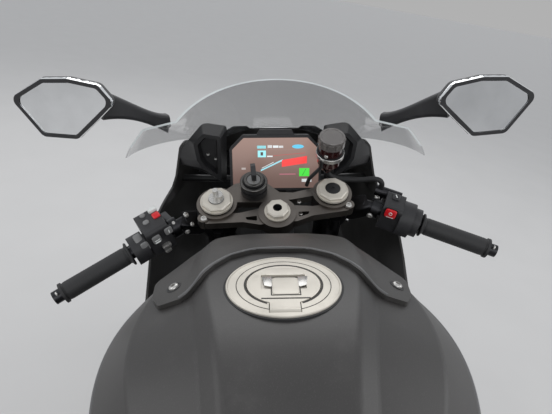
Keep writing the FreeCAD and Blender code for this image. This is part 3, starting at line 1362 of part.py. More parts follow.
def mirror():
    """Mirror housing on its stalk, recessed for the glass."""
    shell = loft([mirror_outline(MIRROR_X, 0), mirror_outline(MIRROR_X + 12, -1.5),
                  mirror_outline(MIRROR_X + 32, 8),
                  mirror_outline(MIRROR_X + 46, 26)])
    recess = loft([mirror_outline(MIRROR_X - 1, 6), mirror_outline(MIRROR_X + 5, 6)], True)
    shell = shell.cut(recess)
    stalk_rows = [
        # x, y, z, half width along the stalk's side, half height
        (1186, 296, 1122, 15, 26),
        (1216, 262, 1104, 11, 17),
        (1252, 236, 1080, 9, 14),
        (1296, 212, 1054, 13, 20),
    ]
    wires = []
    for x, y, z, deep, high in stalk_rows:
        out = V(-0.6, 0.8, 0).normalize()
        wires.append(rounded_wire([V(x, y, z) + V(0.8, 0.6, 0) * (a * deep) + V(0, 0, 1) * (b * high)
                                   for a, b in ((-1, -1), (1, -1), (1, 1), (-1, 1))], 7))
    stalk = loft(wires)
    return fuse([shell, stalk]).cut(screen_solid(GAP))


def mirror_glass():
    return loft([mirror_outline(MIRROR_X + 1.5, 6.5), mirror_outline(MIRROR_X + 5 - GAP, 6.5)], True)


DASH = V(1268, 0, 980)
DASH_TILT = 13.0
DASH_SIZE = (184, 112)


def in_dash(shape):
    shape.Placement = FreeCAD.Placement(DASH, FreeCAD.Rotation(V(0, 1, 0),
                                                               DASH_TILT)).multiply(shape.Placement)
    return shape


def dash_outline(inset):
    w, h = DASH_SIZE[0] / 2, DASH_SIZE[1] / 2
    return inset_loop([(w - 26, h), (w, h - 26), (w, -h + 10), (w - 14, -h), (-w + 14, -h), (-w, -h + 10),
                       (-w, h - 26),
                       (-w + 26, h)], inset)


def dashboard():
    body = front_plate(dash_outline(0), 0, 26, 6)
    back = box(26, DASH_BACK, -66, 66, -34, 34)
    visor = front_plate([(40, 52), (-40, 52), (-32, 66), (32, 66)], 5, 22, 3)
    recess = front_plate(dash_outline(5), -1, 2.5, 4)
    return in_dash(fuse([body, back, visor]).cut(recess))


def dash_display():
    return in_dash(front_plate(dash_outline(5.5), 0.6, 2.5 - GAP, 4))


DASH_BACK = 44.0


def dash_bracket():
    """Stay from the steering head to the back of the dash, with an arm to each side of the nose."""
    stem = side_plate([(1204, 842), (1184, 888), (1262, 906), (1316, 921), (1350, 924), (1340, 900),
                       (1275, 876)],
                      -22, 22, 5)
    pad = in_dash(box(DASH_BACK + GAP, DASH_BACK + 8, -34, 34, -66, 30))
    bore = cyl(V(0, 0, LOWER_CLAMP_TOP), V(0, 0, CLAMP_TOP), HEAD_R + GAP)
    bore.Placement = FORK_FRAME.multiply(bore.Placement)
    arms = fuse(both(pipe([V(1334, 0, 910), V(1345, 60, 912), V(1372, 240, 905)], 8, 40)))
    half = fairing_core(GAP)
    core = half.fuse(mirrored(half))
    return fuse([cut(stem, [bore]), pad, arms.common(core)])


COCKPIT_PANEL = [
    # x, then (y, z) round the panel's left half
    (1300, 97, 1048, 148, 1056, 186, 1030, 202, 985, 196, 966, 150, 950, 104, 920),
    (1262, 106, 1038, 140, 1044, 160, 1024, 156, 990, 146, 972, 128, 958, 110, 942),
]


def cockpit_panels():
    """Dark panels beside the dash, between the screen's base and the nose, each with a recess."""
    core = fairing_core(2 * GAP)
    rear, front = [half_points(row) for row in COCKPIT_PANEL]
    x0, x1 = COCKPIT_PANEL[1][0], COCKPIT_PANEL[0][0]
    shell = loft([rounded_wire([V(x1, y, z) for y, z in rear], 6),
                  rounded_wire([V(x0, y, z) for y, z in front], 6)])
    recess = loft([rounded_wire([V(x, y, z) for y, z in inset_loop(front, inset)], 4)
                   for x, inset in ((x0 - 1, 7), (x0 + 16, 11))])
    return both(shell.common(core).cut(recess))


PAD_FOOT = 768.0
PILLION_FOOT = 896.0
SEAT = [
    # x, crown y z, edge y z, side y z, foot y z
    (TANK[0][0] - GAP, 40, 836, 58, 828, 70, 810, 66, 790),
    (520, 58, 832, 84, 824, 100, 802, 92, 776),
    (430, 84, 828, 116, 820, 134, 796, 124, PAD_FOOT),
    (340, 92, 842, 124, 834, 140, 806, 128, 776),
    (296, 84, 872, 112, 862, 128, 826, 118, 786),
]
PILLION = [
    (262, 60, 924, 84, 916, 96, 900, 88, 884),
    (150, 66, 940, 90, 932, 104, 914, 96, PILLION_FOOT),
    (20, 54, 952, 78, 944, 90, 926, 84, 908),
    (-90, 30, 956, 48, 950, 58, 936, 54, 922),
]
TAIL = [
    (330, 70, 868, 128, 840, 142, 796, 110, 758),
    (230, 84, 902, 118, 880, 132, 838, 96, 790),
    (90, 92, 924, 112, 902, 120, 862, 80, 816),
    (-70, 76, 940, 92, 922, 98, 890, 62, 846),
    (-210, 46, 954, 60, 940, 64, 914, 40, 880),
    (-300, 26, 958, 36, 950, 40, 932, 26, 912),
]


def seats():
    rider = body_loft(SEAT, 14)
    pillion = body_loft(PILLION, 12)
    return rider, pillion


def tail_cowl():
    """Tail unit: a tapered shell, closed behind, open in front and over the wheel, recessed for the pads."""
    outer, inner = body_loft(TAIL, 14), body_loft(TAIL, 14, WALL)
    hollow = inner.common(box(TAIL[-1][0] + WALL, 500, -300, 300, 700, 1100))
    shell = outer.cut(hollow)
    below = box(-150, 400, -84, 84, 700, 852)
    return cut(shell, [body_loft(SEAT, 14, -GAP), body_loft(PILLION, 12, -GAP), below])


def bulkhead():
    """Plate across the tail that carries it on the rails."""
    row = TAIL[1]
    wire = section(row[0], half_points(row), 14 - WALL, WALL + GAP)
    plate = Part.Face(wire).extrude(V(7, 0, 0))
    return plate.common(box(200, 300, -300, 300, 700, 876))


def subframe():
    """Bolted tubular rails from the main frame to the tail, with a bulkhead under the passenger's pad."""
    rail = pipe([V(690, 140, 590), V(560, 112, 650), V(330, 74, 744), V(90, 56, 838), V(-150, 30, 888)], 13,
                60)
    stay = pipe([V(640, 140, 500), V(520, 122, 580), V(262, 66, 764)], 10, 50)
    ties = [cyl(V(400, -84, 716), V(400, 84, 716), 9), cyl(V(60, -50, 845), V(60, 50, 845), 9)]
    post = cyl(V(430, 86, 700), V(430, 86, PAD_FOOT - GAP), 9)
    pillion_post = cyl(V(150, 60, 815), V(150, 60, PILLION_FOOT - 2), 8)
    return fuse(both(rail) + both(stay) + both(post) + both(pillion_post) + ties + [bulkhead()])


def tail_lamp():
    return front_plate([(-30, 948), (30, 948), (34, 934), (20, 918), (-20, 918), (-34, 934)], -312,
                       -300 - GAP, 6)


PLATE_TOP = V(-306, 0, 735)
PLATE_TILT = 14.0       # board from the vertical, top leaning back over the wheel
PLATE_H, PLATE_W = 170.0, 190.0
PLATE_T = 4.0
PLATE_PCD = 150.0       # between the plate's two bolts
PLATE_BOLT_R = 3.0
STAY_HALF = 34.0


def plate_normal():
    return V(-cos(rad(PLATE_TILT)), 0, sin(rad(PLATE_TILT)))


def plate_point(across, down):
    """Point on the board's rear face, measured from the bolt line."""
    drop = V(-sin(rad(PLATE_TILT)), 0, -cos(rad(PLATE_TILT)))
    return PLATE_TOP + V(0, across, 0) + drop * (32 + down)


HOLDER = [(-216, 900), (-258, 920), (-304, 745), (-318, 690), (-300, 688), (-262, 760)]


def plate_holder():
    """Stay behind the wheel with the board that takes the number plate."""
    stem = side_plate(HOLDER, -STAY_HALF, STAY_HALF, 6).cut(body_loft(TAIL, 14, -GAP))
    board = box(0, PLATE_T, -PLATE_W / 2, PLATE_W / 2, -PLATE_H, 0)
    board.Placement = FreeCAD.Placement(PLATE_TOP, FreeCAD.Rotation(V(0, 1, 0), PLATE_TILT))
    holes = [cyl(plate_point(y, 0) - plate_normal() * 12, plate_point(y, 0) + plate_normal() * 12,
                 PLATE_BOLT_R)
             for y in (PLATE_PCD / 2, -PLATE_PCD / 2)]
    return cut(fuse([stem, board]), holes)


def indicators():
    shapes = []
    for s in (1, -1):
        stem = cyl(V(-282, s * 24, 763.6), V(-294, s * 86, 772), 6)
        head = loft([rounded_wire([V(-294 + a * dx, s * y, 772 + b * dz) for a,
                                   b in ((-1, -1), (1, -1), (1, 1), (-1, 1))], 5)
                     for y, dx, dz in ((82, 8, 9), (100, 14, 13), (132, 9, 8))])
        shapes.append(fuse([stem, head]).cut(box(-400, 0, -STAY_HALF - GAP, STAY_HALF + GAP, 700, 900)))
    return shapes


HUGGER_HALF = REAR_TYRE_W / 2 + 8
HUGGER_T = 3.0


def hugger():
    """Mudguard over the front of the rear tyre, carried by the swingarm."""
    r = REAR_R + 14
    half = HUGGER_HALF

    def arc_edges(inset):
        return [REAR_AXLE + V(0, half - inset, r - 60), REAR_AXLE + V(0, 0, r - inset),
                REAR_AXLE + V(0, -half + inset, r - 60)]

    outer, inner = arc_edges(-HUGGER_T), arc_edges(0)
    wire = Part.Wire([Part.Arc(*outer).toShape(), Part.LineSegment(outer[2], inner[2]).toShape(),
                      Part.Arc(inner[2], inner[1], inner[0]).toShape(),
                      Part.LineSegment(inner[0], outer[0]).toShape()])
    face = Part.Face(wire)
    face.rotate(REAR_AXLE, V(0, 1, 0), 8)
    shell = face.revolve(REAR_AXLE, V(0, 1, 0), 72)
    return shell


def chain_guard():
    return side_plate([(424, 492), (416, 454), (120, 454), (60, 442), (56, 454), (120, 472), (330, 488)],
                      HUGGER_HALF + HUGGER_T + GAP, 123 - GAP, 3)


PEG_FACE = PLATE_OUT + 10


def rearsets():
    """Footrest plates behind the frame, with heel guards."""
    plate = side_plate([(640, 470), (560, 452), (470, 470), (440, 440), (462, 395), (520, 380), (560, 330),
                        (640, 330)],
                       PLATE_OUT + GAP, PEG_FACE, 10)
    slot = side_plate([(560, 440), (520, 432), (520, 404), (560, 390)], 160, 200, 8)
    round_bolt = cyl(PIVOT, PIVOT + V(0, 250, 0), 21)
    return both(cut(plate, [slot, round_bolt]))


def footpegs():
    """Ribbed pegs for the rider, and the passenger's on their hangers."""
    peg = fuse([cyl(V(486, PEG_FACE + GAP, 424), V(486, 276, 424), 10.5)]
               + [cyl(V(486, y, 424), V(486, y + 3, 424), 12.5) for y in range(204, 276, 9)])
    return both(peg)


def foot_levers():
    """Gear lever on the left and brake pedal on the right."""
    hub = cyl(V(588, PEG_FACE + GAP, 352), V(588, PEG_FACE + 16, 352), 12)
    gear = fuse([pipe([V(588, 194, 352), V(620, 198, 352), V(676, 204, 376)], 6, 30),
                 cyl(V(676, 200, 376), V(676, 244, 376), 8), hub])
    brake = fuse([pipe([V(588, -194, 352), V(620, -198, 350), V(676, -214, 378)], 7, 30),
                  box(664, 690, -240, -208, 373, 383), mirrored(hub)])
    return [gear, brake]


# Side stand: the pivot is on the left, and the leg is drawn where it stands
STAND_PIVOT = V(690, 178, 246)
STAND_FOOT = (770.0, 292.0)       # where the foot stands, x and y in the bike's frame
STAND_TUCK = V(-0.99, 0.10, 0.02)
STAND_NOTCH_R = 44.0              # cut-out of the belly pan round the pivot
EYE_HALF = 10.0                   # half the width of the leg's eye
STAND_BOLT_R = 7.0
STAND_SWING = 105.0


def ground_z(x, y):
    """Height of the floor under a point of the upright bike, once it is parked."""
    normal = PARKED.inverse().Rotation.multVec(V(0, 0, 1))
    point = PARKED.inverse().multVec(V(0, 0, 0))
    return point.z - (normal.x * (x - point.x) + normal.y * (y - point.y)) / normal.z


def stand_axis():
    """Hinge axis, level fore and aft, that carries the leg from the ground to its tucked place."""
    x, y = STAND_FOOT
    down = (V(x, y, ground_z(x, y)) - STAND_PIVOT).normalize()
    tuck = V(STAND_TUCK).normalize()
    slope = (down.y - tuck.y) / (tuck.z - down.z)
    return V(0, 1, slope).normalize()


def side_stand():
    """Leg with its foot flat on the floor and a fork round the frame's lug."""
    x, y = STAND_FOOT
    floor = V(x, y, ground_z(x, y))
    normal = PARKED.inverse().Rotation.multVec(V(0, 0, 1))
    along = (floor - STAND_PIVOT).normalize()
    ankle = floor + normal * 12 - along * 6
    leg = pipe([STAND_PIVOT + along * 8, STAND_PIVOT + along * 120, ankle], 11, 200)
    foot = Part.makeCylinder(30, 7, floor, normal)
    axis = stand_axis()
    eye = Part.makeCylinder(19, 2 * EYE_HALF, STAND_PIVOT - axis * EYE_HALF, axis)
    toe = cyl(floor + normal * 3.5, ankle, 13)
    bore = Part.makeCylinder(STAND_BOLT_R + GAP, 60, STAND_PIVOT - axis * 30, axis)
    head_room = Part.makeCylinder(12, 20, STAND_PIVOT + axis * EYE_HALF, axis)
    lug_room = Part.makeCylinder(19, 20, STAND_PIVOT - axis * (EYE_HALF + 20), axis)
    return cut(fuse([leg, foot, eye, toe]), [bore, head_room, lug_room])


def stand_bracket():
    """Lug on the lower frame that carries the stand's pivot bolt."""
    axis = stand_axis()
    lug = Part.makeCylinder(17, 12, STAND_PIVOT - axis * (EYE_HALF + GAP + 12), axis)
    bolt = Part.makeCylinder(STAND_BOLT_R, 40, STAND_PIVOT - axis * 22, axis)
    head = Part.makeCylinder(11, 6, STAND_PIVOT + axis * (EYE_HALF + GAP), axis)
    arm = pipe([STAND_PIVOT - axis * 24, V(660, 148, 262), V(610, 165, 320)], 9, 16)
    return fuse([lug, bolt, head, arm])


# Assembly
def place(shape, fork=False, steer=False, shift=None):
    """A copy of the shape as it stands parked."""
    placed = PARKED
    if steer:
        placed = placed.multiply(STEERED)
    if fork:
        placed = placed.multiply(FORK_FRAME)
    copy = shape.copy()
    copy.Placement = placed.multiply(copy.Placement)
    if shift:
        copy.translate(shift)
    return copy


def fork_pieces():
    """Pieces drawn in the fork's frame that turn with the bars."""
    return {
        "upper_clamp": [upper_clamp()], "lower_clamp": [lower_clamp(), line_block()],
        "fork_tubes": fork_tubes(),
        "fork_caps": fork_caps() + [stem_nut()], "ignition_lock": fork_adjusters() + [ignition(),
            ignition_key()],
        "fork_legs": fork_legs(), "front_axle": [front_axle()], "front_calipers": calipers(),
        "front_mudguard": [front_mudguard()], "clip_ons": clip_ons(), "grips": grips() + bar_ends(),
        "switch_blocks": [left_switches(), right_switches()], "brake_levers": levers(),
        "lever_perches": perches(), "brake_reservoir": [reservoir(), reservoir_lid(), reservoir_bracket()],
        "brake_hoses": [reservoir_hose()] + brake_lines(),
    }


def body_pieces():
    """Pieces that stay with the frame."""
    nose, flank, pan, lens = fairing_panels()
    rider, pillion = seats()
    damper, spring = rear_shock()
    return {
        "main_frame": [fuse([main_frame(), stand_bracket()])], "engine": [engine(), gearbox_sprocket()],
        "drive_chain": [drive_chain()], "swingarm": [swingarm(), pivot_bolt()],
        "rear_axle": [rear_axle()] + wheel_spacers(), "rear_caliper": [rear_caliper()],
        "rear_shock": [damper, spring], "radiator": [radiator()], "exhaust_pipes": [exhaust()],
        "silencer": [silencer()], "fuel_tank": [tank()], "filler_ring": [filler_ring()],
        "tank_trim": [tank_trim()],
        "nose_fairing": [nose], "side_fairings": both(flank), "belly_pan": [pan],
        "headlamps": both(lens) + lamp_bodies(), "windscreen": [windscreen()],
        "mirrors": both(mirror()) + both(mirror_glass()), "dashboard": [dashboard(), dash_display()],
        "dash_bracket": [dash_bracket()], "cockpit_panels": cockpit_panels(), "rider_pad": [rider],
        "passenger_pad": [pillion], "tail_cowl": [tail_cowl()],
        "subframe": [subframe()], "plate_holder": [plate_holder()],
        "rear_lamps": [tail_lamp()] + indicators(),
        "rear_hugger": [hugger(), chain_guard()], "rearsets": rearsets() + footpegs() + foot_levers(),
    }


def build():
    """Every node's shapes, parked, before the origin is set."""
    placed = {}
    for name, shapes in fork_pieces().items():
        placed[name] = [place(s, fork=True, steer=True) for s in shapes]
    for name, shapes in front_wheel_parts().items():
        placed[name] = [place(s, steer=True) for s in shapes]
    for pieces in (rear_wheel_parts(), body_pieces()):
        for name, shapes in pieces.items():
            placed[name] = [place(s) for s in shapes]
    placed["filler_lid"] = [place(filler_lid())]
    placed["side_stand"] = [place(side_stand())]
    return placed


def origin_shift(placed):
    """Moves the model so that its origin is the centre of its bounding box, on the floor."""
    outermost = ("front_tyre", "plate_holder", "mirrors", "grips", "brake_levers")
    boxes = [s.optimalBoundingBox(False) for name in outermost for s in placed[name]]
    x = min(b.XMin for b in boxes) + max(b.XMax for b in boxes)
    y = min(b.YMin for b in boxes) + max(b.YMax for b in boxes)
    return V(-x / 2, -y / 2, 0)


def main():
    os.makedirs("parts", exist_ok=True)
    placed = build()
    shift = origin_shift(placed)
    for name, shapes in placed.items():
        for shape in shapes:
            shape.translate(shift)
        solids = [solid for shape in shapes for solid in shape.Solids]
        whole = solids[0] if len(solids) == 1 else Part.makeCompound(solids)
        whole.exportStep("parts/" + name + ".step")
    return placed, shift


if __name__ == "__main__":
    main()
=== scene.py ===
# Parked sport bike: finishes, rubber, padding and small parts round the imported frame
import json
import math

import bmesh
import bpy
import numpy as np
from mathutils import Matrix, Vector
from mathutils.bvhtree import BVHTree

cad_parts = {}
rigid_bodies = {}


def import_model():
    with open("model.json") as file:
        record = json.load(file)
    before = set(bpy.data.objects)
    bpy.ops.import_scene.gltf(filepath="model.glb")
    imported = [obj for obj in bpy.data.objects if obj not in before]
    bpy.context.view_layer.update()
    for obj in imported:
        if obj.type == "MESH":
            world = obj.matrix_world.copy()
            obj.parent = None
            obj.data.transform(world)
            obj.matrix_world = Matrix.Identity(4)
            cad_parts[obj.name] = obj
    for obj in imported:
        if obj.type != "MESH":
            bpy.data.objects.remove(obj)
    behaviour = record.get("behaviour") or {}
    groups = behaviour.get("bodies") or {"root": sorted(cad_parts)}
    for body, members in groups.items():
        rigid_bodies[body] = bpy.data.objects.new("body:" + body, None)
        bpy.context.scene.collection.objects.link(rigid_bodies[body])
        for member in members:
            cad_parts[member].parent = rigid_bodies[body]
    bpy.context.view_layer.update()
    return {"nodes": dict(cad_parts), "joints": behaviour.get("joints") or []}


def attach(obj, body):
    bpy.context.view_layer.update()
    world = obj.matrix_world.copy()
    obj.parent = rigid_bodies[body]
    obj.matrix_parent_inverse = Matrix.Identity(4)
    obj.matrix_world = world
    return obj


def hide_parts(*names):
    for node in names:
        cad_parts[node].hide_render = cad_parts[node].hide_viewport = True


for old in list(bpy.data.objects):
    bpy.data.objects.remove(old)
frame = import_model()
print("frame loaded:", len(frame["nodes"]), "nodes")

# places: the bike's own upright frame and the turned fork's frame, both in millimetres
stance = {"lean": 9.0, "pitch": 0.06278, "steer": 6.0, "rake": 23.1,
          "rearHub": (0, 0, 320), "forkOrigin": (1412.2667, 0, 287.7442), "mm": 0.001}


def turned(axis, degrees):
    return np.array(Matrix.Rotation(math.radians(degrees), 3, axis))


joints = {j["name"]: j for j in frame["joints"]}
bikeTurn = turned("Y", stance["pitch"]) @ turned("X", -stance["lean"])
bikeOrigin = (np.array(joints["rear_wheel_spin"]["pos_m"])
              - bikeTurn @ np.array(stance["rearHub"]) * stance["mm"])
rakeTurn = turned("Y", -stance["rake"])
forkTurn = bikeTurn @ rakeTurn @ turned("Z", stance["steer"])
forkOrigin = bikeOrigin + bikeTurn @ np.array(stance["forkOrigin"]) * stance["mm"]


def inBike(points):              # row-frame metres = origin + turn x millimetres
    return bikeOrigin + np.asarray(points, float) * stance["mm"] @ bikeTurn.T


def inFork(points):
    return forkOrigin + np.asarray(points, float) * stance["mm"] @ forkTurn.T


def fromBike(points):            # the way back, for picking faces of a CAD node
    return (np.asarray(points, float) - bikeOrigin) @ bikeTurn / stance["mm"]


def fromFork(points):
    return (np.asarray(points, float) - forkOrigin) @ forkTurn / stance["mm"]


# meshes worked out as arrays
def linked(name, data):
    piece = bpy.data.objects.new(name, data)
    bpy.context.scene.collection.objects.link(piece)
    return piece


def fixOutside(mesh):            # doubles merged, then the faces turned to point outwards
    bm = bmesh.new()
    bm.from_mesh(mesh)
    bmesh.ops.remove_doubles(bm, verts=bm.verts, dist=1e-6)
    bmesh.ops.recalc_face_normals(bm, faces=bm.faces)
    bm.to_mesh(mesh)
    bm.free()


def gridFaces(rows, cols, closed):
    r = np.arange(rows if closed else rows - 1)
    r, c = [a.ravel() for a in np.meshgrid(r, np.arange(cols), indexing="ij")]
    rNext, cNext = (r + 1) % rows, (c + 1) % cols
    return np.stack([r * cols + c, rNext * cols + c, rNext * cols + cNext, r * cols + cNext], 1)


def gridPiece(name, grids, finish, body, closed=False, sharp=35):
    # one mesh from grids of points: columns always close, and where the rows stay open
    # each end gets a fan round its mean point
    points, faces, base = [], [], 0
    for grid in grids:
        rows, cols = grid.shape[:2]
        points.append(grid.reshape(-1, 3))
        faces += (gridFaces(rows, cols, closed) + base).tolist()
        middle = base + rows * cols
        base = middle
        if not closed:
            points += [grid[0].mean(0)[None], grid[-1].mean(0)[None]]
            j = np.arange(cols)
            for row in (0, rows - 1):
                first = middle - (rows - row) * cols
                faces += np.stack([np.full(cols, base), first + j, first + (j + 1) % cols], 1).tolist()
                base += 1
    mesh = bpy.data.meshes.new(name)
    mesh.from_pydata(np.concatenate(points).tolist(), [], faces)
    mesh.validate()
    mesh.materials.append(finishes[finish])
    fixOutside(mesh)
    mesh.polygons.foreach_set("use_smooth", np.ones(len(mesh.polygons), bool))
    if sharp:
        mesh.set_sharp_from_angle(angle=math.radians(sharp))
    piece = linked(name, mesh)
    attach(piece, body)
    return piece


def basis(axis):                 # two directions square to an axis
    axis = np.asarray(axis, float) / np.linalg.norm(axis)
    side = np.cross(axis, (0, 0, 1) if abs(axis[2]) < 0.9 else (1, 0, 0))
    side /= np.linalg.norm(side)
    return axis, side, np.cross(axis, side)


def turnedGrid(foot, axis, profile, steps=48, start=0.0, radius=None):
    # lathe: point = foot + axis * h + r * (side cos a + other sin a), for each (r, h) of the profile
    axis, side, other = basis(axis)
    a = start + np.linspace(0, 2 * math.pi, steps, endpoint=False)[:, None]
    r, h = np.array(profile, float).T
    r = np.broadcast_to(r, (steps, len(r))) if radius is None else radius(a, r[None, :])
    ring = np.cos(a)[..., None] * side + np.sin(a)[..., None] * other
    grid = np.asarray(foot, float) + h[None, :, None] * axis + r[..., None] * ring
    return grid.transpose(1, 0, 2)


# shader wiring
class Wire:                      # one output socket, with arithmetic
    def __init__(self, finish, socket):
        self.finish, self.socket = finish, socket

    def maths(self, operation, *others, flip=False):
        values = [*others, self] if flip else [self, *others]
        return self.finish.node("Math", {"operation": operation}, dict(enumerate(values)))

    def __add__(self, other): return self.maths("ADD", other)
    def __sub__(self, other): return self.maths("SUBTRACT", other)
    def __mul__(self, other): return self.maths("MULTIPLY", other)
    def __truediv__(self, other): return self.maths("DIVIDE", other)
    def __pow__(self, other): return self.maths("POWER", other)
    def __gt__(self, other): return self.maths("GREATER_THAN", other)
    def __lt__(self, other): return self.maths("LESS_THAN", other)
    def __rsub__(self, other): return self.maths("SUBTRACT", other, flip=True)
    def __rtruediv__(self, other): return self.maths("DIVIDE", other, flip=True)
    __radd__ = __add__
    __rmul__ = __mul__

    def absolute(self): return self.maths("ABSOLUTE")
    def fraction(self): return self.maths("FRACT")

    def band(self, low, high):   # 0 below low, 1 above high, smooth between
        return self.finish.node("MapRange", {"interpolation_type": "SMOOTHSTEP"},
                                {"Value": self, "From Min": low, "From Max": high})


class Finish:                    # a principled material that is wired up by name
    def __init__(self, name, **fixed):
        self.material = bpy.data.materials.new(name)
        self.material.use_nodes = True
        self.tree = self.material.node_tree
        self.shader = self.tree.nodes["Principled BSDF"]
        for key, value in fixed.items():
            self.set(key, value)
        self.place = self.node("TexCoord", {}, {}, "Object")

    def fill(self, socket, value):
        if isinstance(value, Wire):
            self.tree.links.new(value.socket, socket)
        elif socket.type == "RGBA" and len(value) == 3:
            socket.default_value = (*value, 1)
        else:
            socket.default_value = value

    def node(self, kind, settings, inputs, output=0):
        made = self.tree.nodes.new("ShaderNode" + kind)
        for key, value in settings.items():
            setattr(made, key, value)
        for key, value in inputs.items():
            self.fill(made.inputs[key], value)
        return Wire(self, made.outputs[output])

    def set(self, key, value):
        self.fill(self.shader.inputs[key.replace("_", " ")], value)

    def noise(self, scale, detail=3.0, rough=0.5, place=None):
        return self.node("TexNoise", {}, {"Vector": place or self.place, "Scale": scale,
                                          "Detail": detail, "Roughness": rough})

    def mix(self, share, first, second):
        return self.node("Mix", {"data_type": "RGBA"}, {0: share, 6: first, 7: second}, 2)

    def bump(self, height, strength=0.3, distance=0.001):
        self.set("Normal", self.node("Bump", {}, {"Height": height, "Strength": strength,
                                                  "Distance": distance}))


def localAxes(finish, origin, turn):
    # object coordinates turned into a piece's own frame, in metres: (place - origin) turned back
    moved = finish.node("VectorMath", {"operation": "SUBTRACT"}, {0: finish.place, 1: tuple(origin)})
    return [finish.node("VectorMath", {"operation": "DOT_PRODUCT"}, {0: moved, 1: tuple(turn[:, i])},
                        "Value")
            for i in range(3)]


def shade(colour, factor):
    return tuple(min(1.0, c * factor) for c in colour)


def paint(name, colour, rough, flake=0.0, dust=0.12):
    # satin paint: slow cloudiness, faint orange peel and a little dust
    f = Finish(name)
    cloud, speck = f.noise(7, 4), f.noise(900, 2)
    grime = f.noise(22, 5, 0.65).band(0.52, 0.78)
    base = f.mix(cloud.band(0.3, 0.7), shade(colour, 0.9), shade(colour, 1.1))
    if flake:
        base = f.mix(speck.band(0.56, 0.7) * flake, base, shade(colour, 2.6))
    f.set("Base Color", f.mix(grime * dust, base, (0.16, 0.155, 0.15)))
    f.set("Roughness", cloud * 0.10 + grime * dust * 0.5 + (rough - 0.05))
    f.bump(speck * 0.35 + f.noise(260, 2) * 0.65, 0.05, 0.0004)
    return f.material


def metal(name, colour, rough, brushed=None, wear=0.1, cast=0.0, share=1.0):
    # metal: soft grime, a brushed or cast surface; share is how far it is bare metal
    f = Finish(name, Metallic=share)
    cloud = f.noise(18, 4)
    grime = f.noise(55, 5, 0.62).band(0.5, 0.75)
    base = f.mix(cloud.band(0.3, 0.7), shade(colour, 0.92), shade(colour, 1.06))
    f.set("Base Color", f.mix(grime * wear, base, shade(colour, 0.45)))
    if brushed:
        fine = f.noise(1, 3, 0.6, f.node("Mapping", {}, {"Vector": f.place, "Scale": brushed}))
        f.set("Roughness", fine * 0.16 + grime * 0.10 + (rough - 0.08))
        f.bump(fine, 0.12, 0.0003)
    else:
        grain = f.noise(260 if cast else 700, 3)
        f.set("Roughness", grain * 0.10 + grime * 0.12 + (rough - 0.05))
        f.bump(grain, 0.08 + cast, 0.0005)
    return f.material


def plastic(name, colour, rough, grain=1200, depth=0.25):
    # moulded plastic: leather-like grain from cells, with slightly polished high spots
    f = Finish(name, IOR=1.47)
    cell = f.node("TexVoronoi", {}, {"Vector": f.place, "Scale": grain}, "Distance")
    cloud = f.noise(14, 4)
    grime = f.noise(40, 5, 0.6).band(0.52, 0.8)
    base = f.mix(cloud.band(0.3, 0.7), shade(colour, 0.85), shade(colour, 1.12))
    f.set("Base Color", f.mix(grime * 0.12, base, (0.13, 0.125, 0.12)))
    f.set("Roughness", cell * 0.12 + grime * 0.10 + (rough - 0.06))
    f.bump(cell, depth, 0.0003)
    return f.material


def rubber(name, colour, rough, scale=420):
    # rubber: fine grain, with worn and paler patches
    f = Finish(name, IOR=1.5)
    grain = f.noise(scale, 5, 0.6)
    worn = f.noise(9, 5, 0.6).band(0.42, 0.75)
    f.set("Base Color", f.mix(worn * 0.55, shade(colour, 0.85), shade(colour, 1.5)))
    f.set("Roughness", grain * 0.14 + worn * 0.08 + (rough - 0.1))
    f.bump(grain, 0.22, 0.0006)
    return f.material


def glass(name, colour, rough, alpha, coat):
    # clear plastic with faint smears
    f = Finish(name, IOR=1.49, Alpha=alpha, Coat_Weight=coat)
    smear = f.noise(5, 5, 0.65)
    f.set("Base Color", f.mix(smear.band(0.35, 0.7), colour, shade(colour, 1.25)))
    f.set("Roughness", smear * 0.06 + rough)
    return f.material


def key(name, colour, rough):
    # smooth moulded key: even colour with fine grain and a trace of handling
    f = Finish(name, IOR=1.5)
    cloud, grain = f.noise(90, 3), f.noise(1600, 2)
    f.set("Base Color", f.mix(cloud.band(0.35, 0.75) * 0.15, colour, shade(colour, 0.7)))
    f.set("Roughness", grain * 0.10 + cloud * 0.08 + (rough - 0.09))
    f.bump(grain, 0.10, 0.0002)
    return f.material


